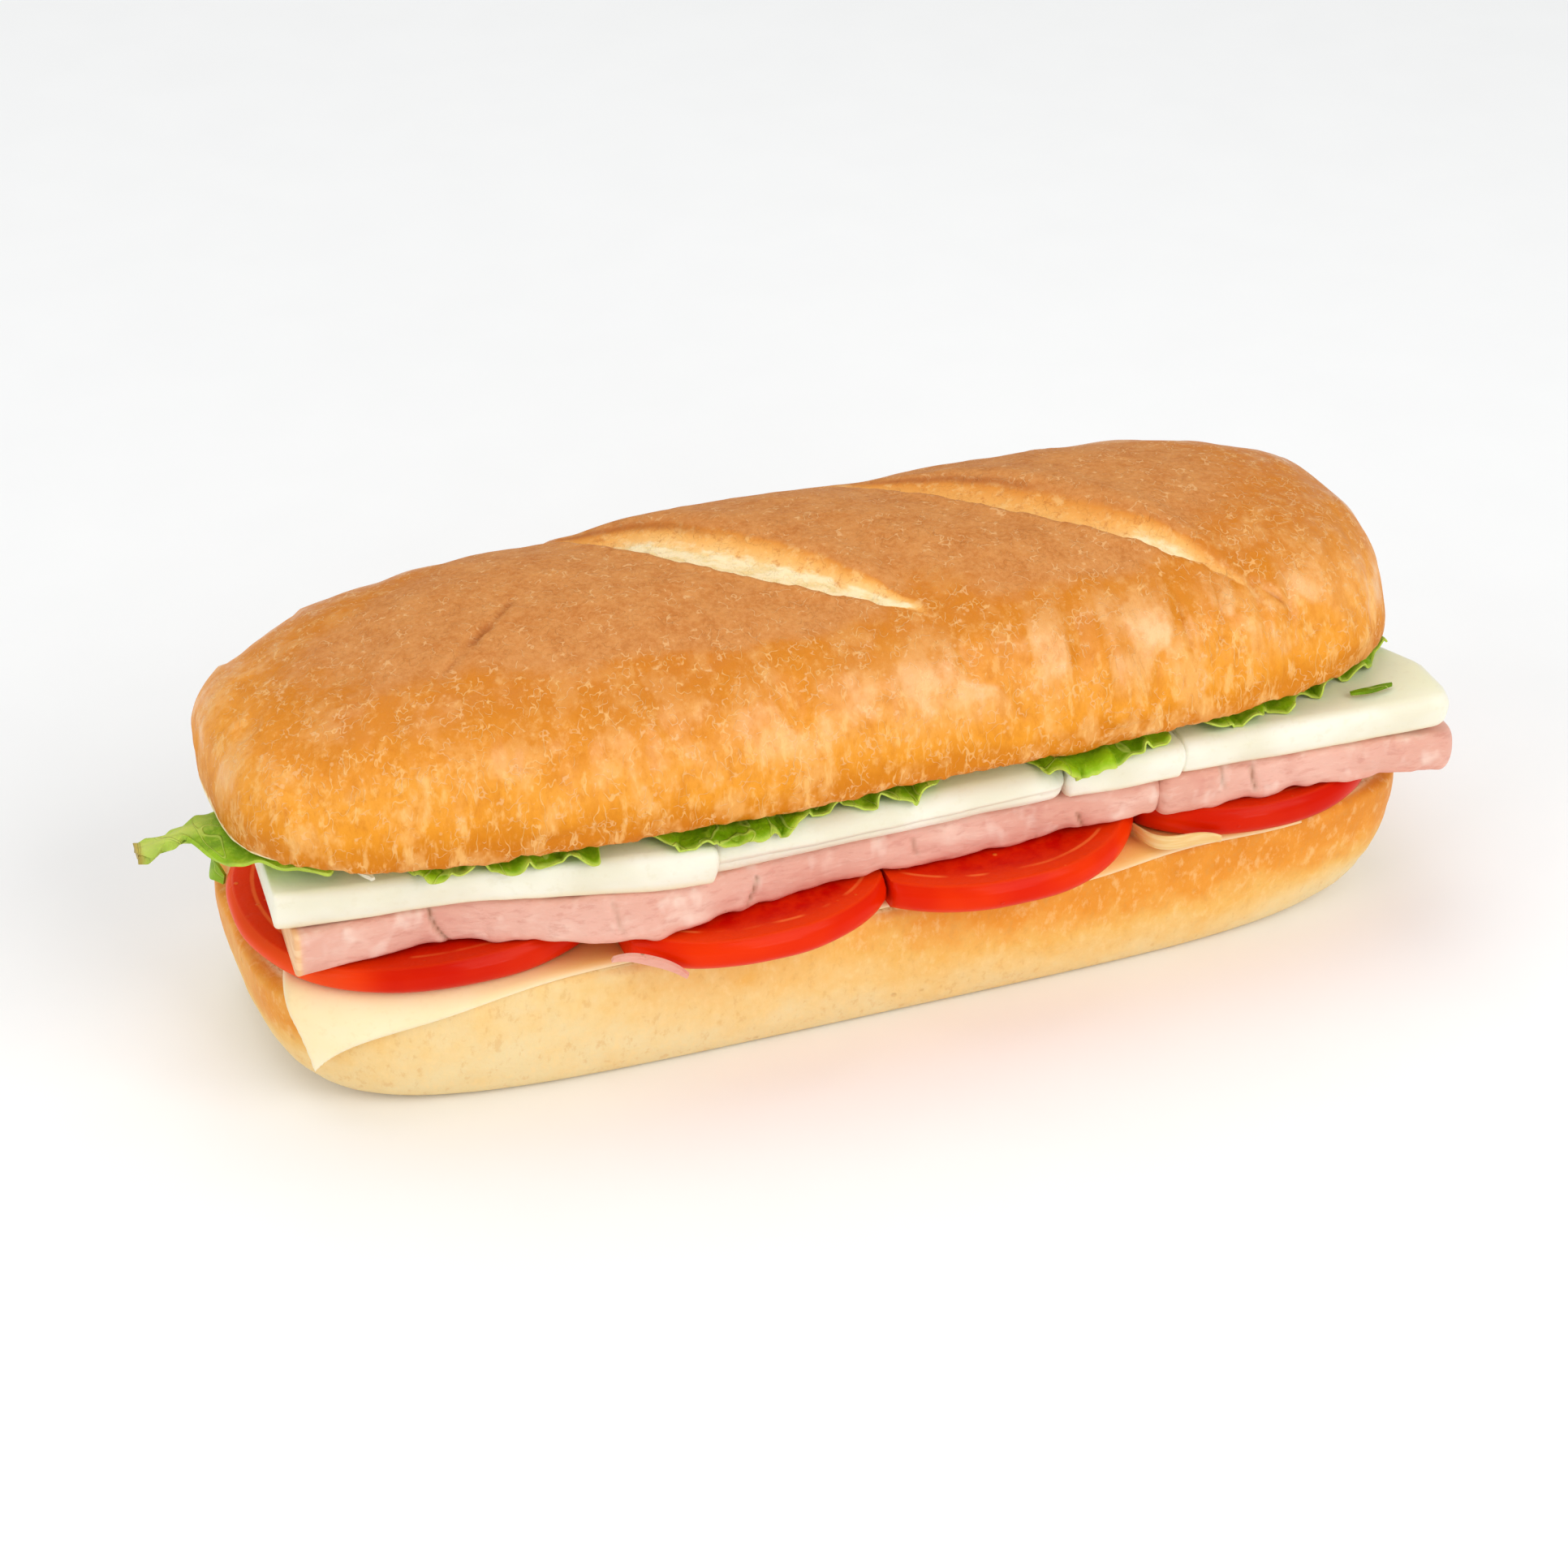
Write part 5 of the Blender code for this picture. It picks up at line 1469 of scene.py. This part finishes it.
def set_stage():
    """A plain pale floor, a bright soft sky, and soft lamps that all point at the sandwich."""
    corners = [(x * FLOOR_HALF, y * FLOOR_HALF, 0.0) for x, y in ((-1, -1), (1, -1), (1, 1), (-1, 1))]
    mesh = bpy.data.meshes.new("floor")
    mesh.from_pydata(corners, [], [(0, 1, 2, 3)])
    floor = bpy.data.objects.new("floor", mesh)
    pale = Finish("pale_floor")
    grain = pale.noise(pale.place(), 40.0, 3.0)
    colour = pale.over(tint(250, 250, 249), (grain, (253, 253, 252)))
    mesh.materials.append(pale.done(colour, 0.75 + grain * 0.1))
    bpy.context.scene.collection.objects.link(floor)
    sky = bpy.data.worlds.new("studio")
    sky.use_nodes = True
    sky.node_tree.nodes["Background"].inputs["Color"].default_value = SKY_COLOUR
    sky.node_tree.nodes["Background"].inputs["Strength"].default_value = SKY_STRENGTH
    bpy.context.scene.world = sky
    for name, place, sides, watts in LAMPS:
        lamp = bpy.data.lights.new(name, "AREA")
        lamp.shape = "RECTANGLE"
        lamp.size, lamp.size_y = sides
        lamp.energy = watts
        light = bpy.data.objects.new(name, lamp)
        bpy.context.scene.collection.objects.link(light)
        aim(light, place, LOOK_AT)


def set_camera():
    """The camera on a sphere round the point it looks at, shifted so that this point keeps its pixel."""
    turn, height = np.radians(CAMERA_TURN), np.radians(CAMERA_HEIGHT)
    back = Vector((np.sin(turn) * np.cos(height), -np.cos(turn) * np.cos(height), np.sin(height)))
    lens = bpy.data.cameras.new("camera")
    lens.sensor_width = SENSOR_WIDTH
    lens.lens = SENSOR_WIDTH * FOCAL_PIXELS / IMAGE_SIDE
    lens.shift_x = (0.5 * IMAGE_SIDE - LOOK_AT_PIXEL[0]) / IMAGE_SIDE
    lens.shift_y = (LOOK_AT_PIXEL[1] - 0.5 * IMAGE_SIDE) / IMAGE_SIDE
    camera = bpy.data.objects.new("camera", lens)
    bpy.context.scene.collection.objects.link(camera)
    aim(camera, LOOK_AT + CAMERA_DISTANCE * back, LOOK_AT)
    bpy.context.scene.camera = camera


def main():
    bpy.context.scene.view_settings.view_transform = "Standard"
    set_camera()
    set_stage()
    leaf = leaf_finish()
    ham = ham_finish()
    cheese = white_cheese_finish()
    build_upper_roll(crust_finish())
    build_lower_roll(bread_finish())
    build_yellow_cheese(yellow_cheese_finish())
    build_tomatoes(tomato_finish())
    build_ham(ham)
    build_white_cheese(cheese)
    for number, sizes in LEAVES.items():
        build_leaf(number, *sizes, leaf)
    build_end_leaf(leaf)
    build_onion(onion_finish())
    build_strips({"ham": ham, "lettuce": leaf, "white_cheese": cheese})


main()
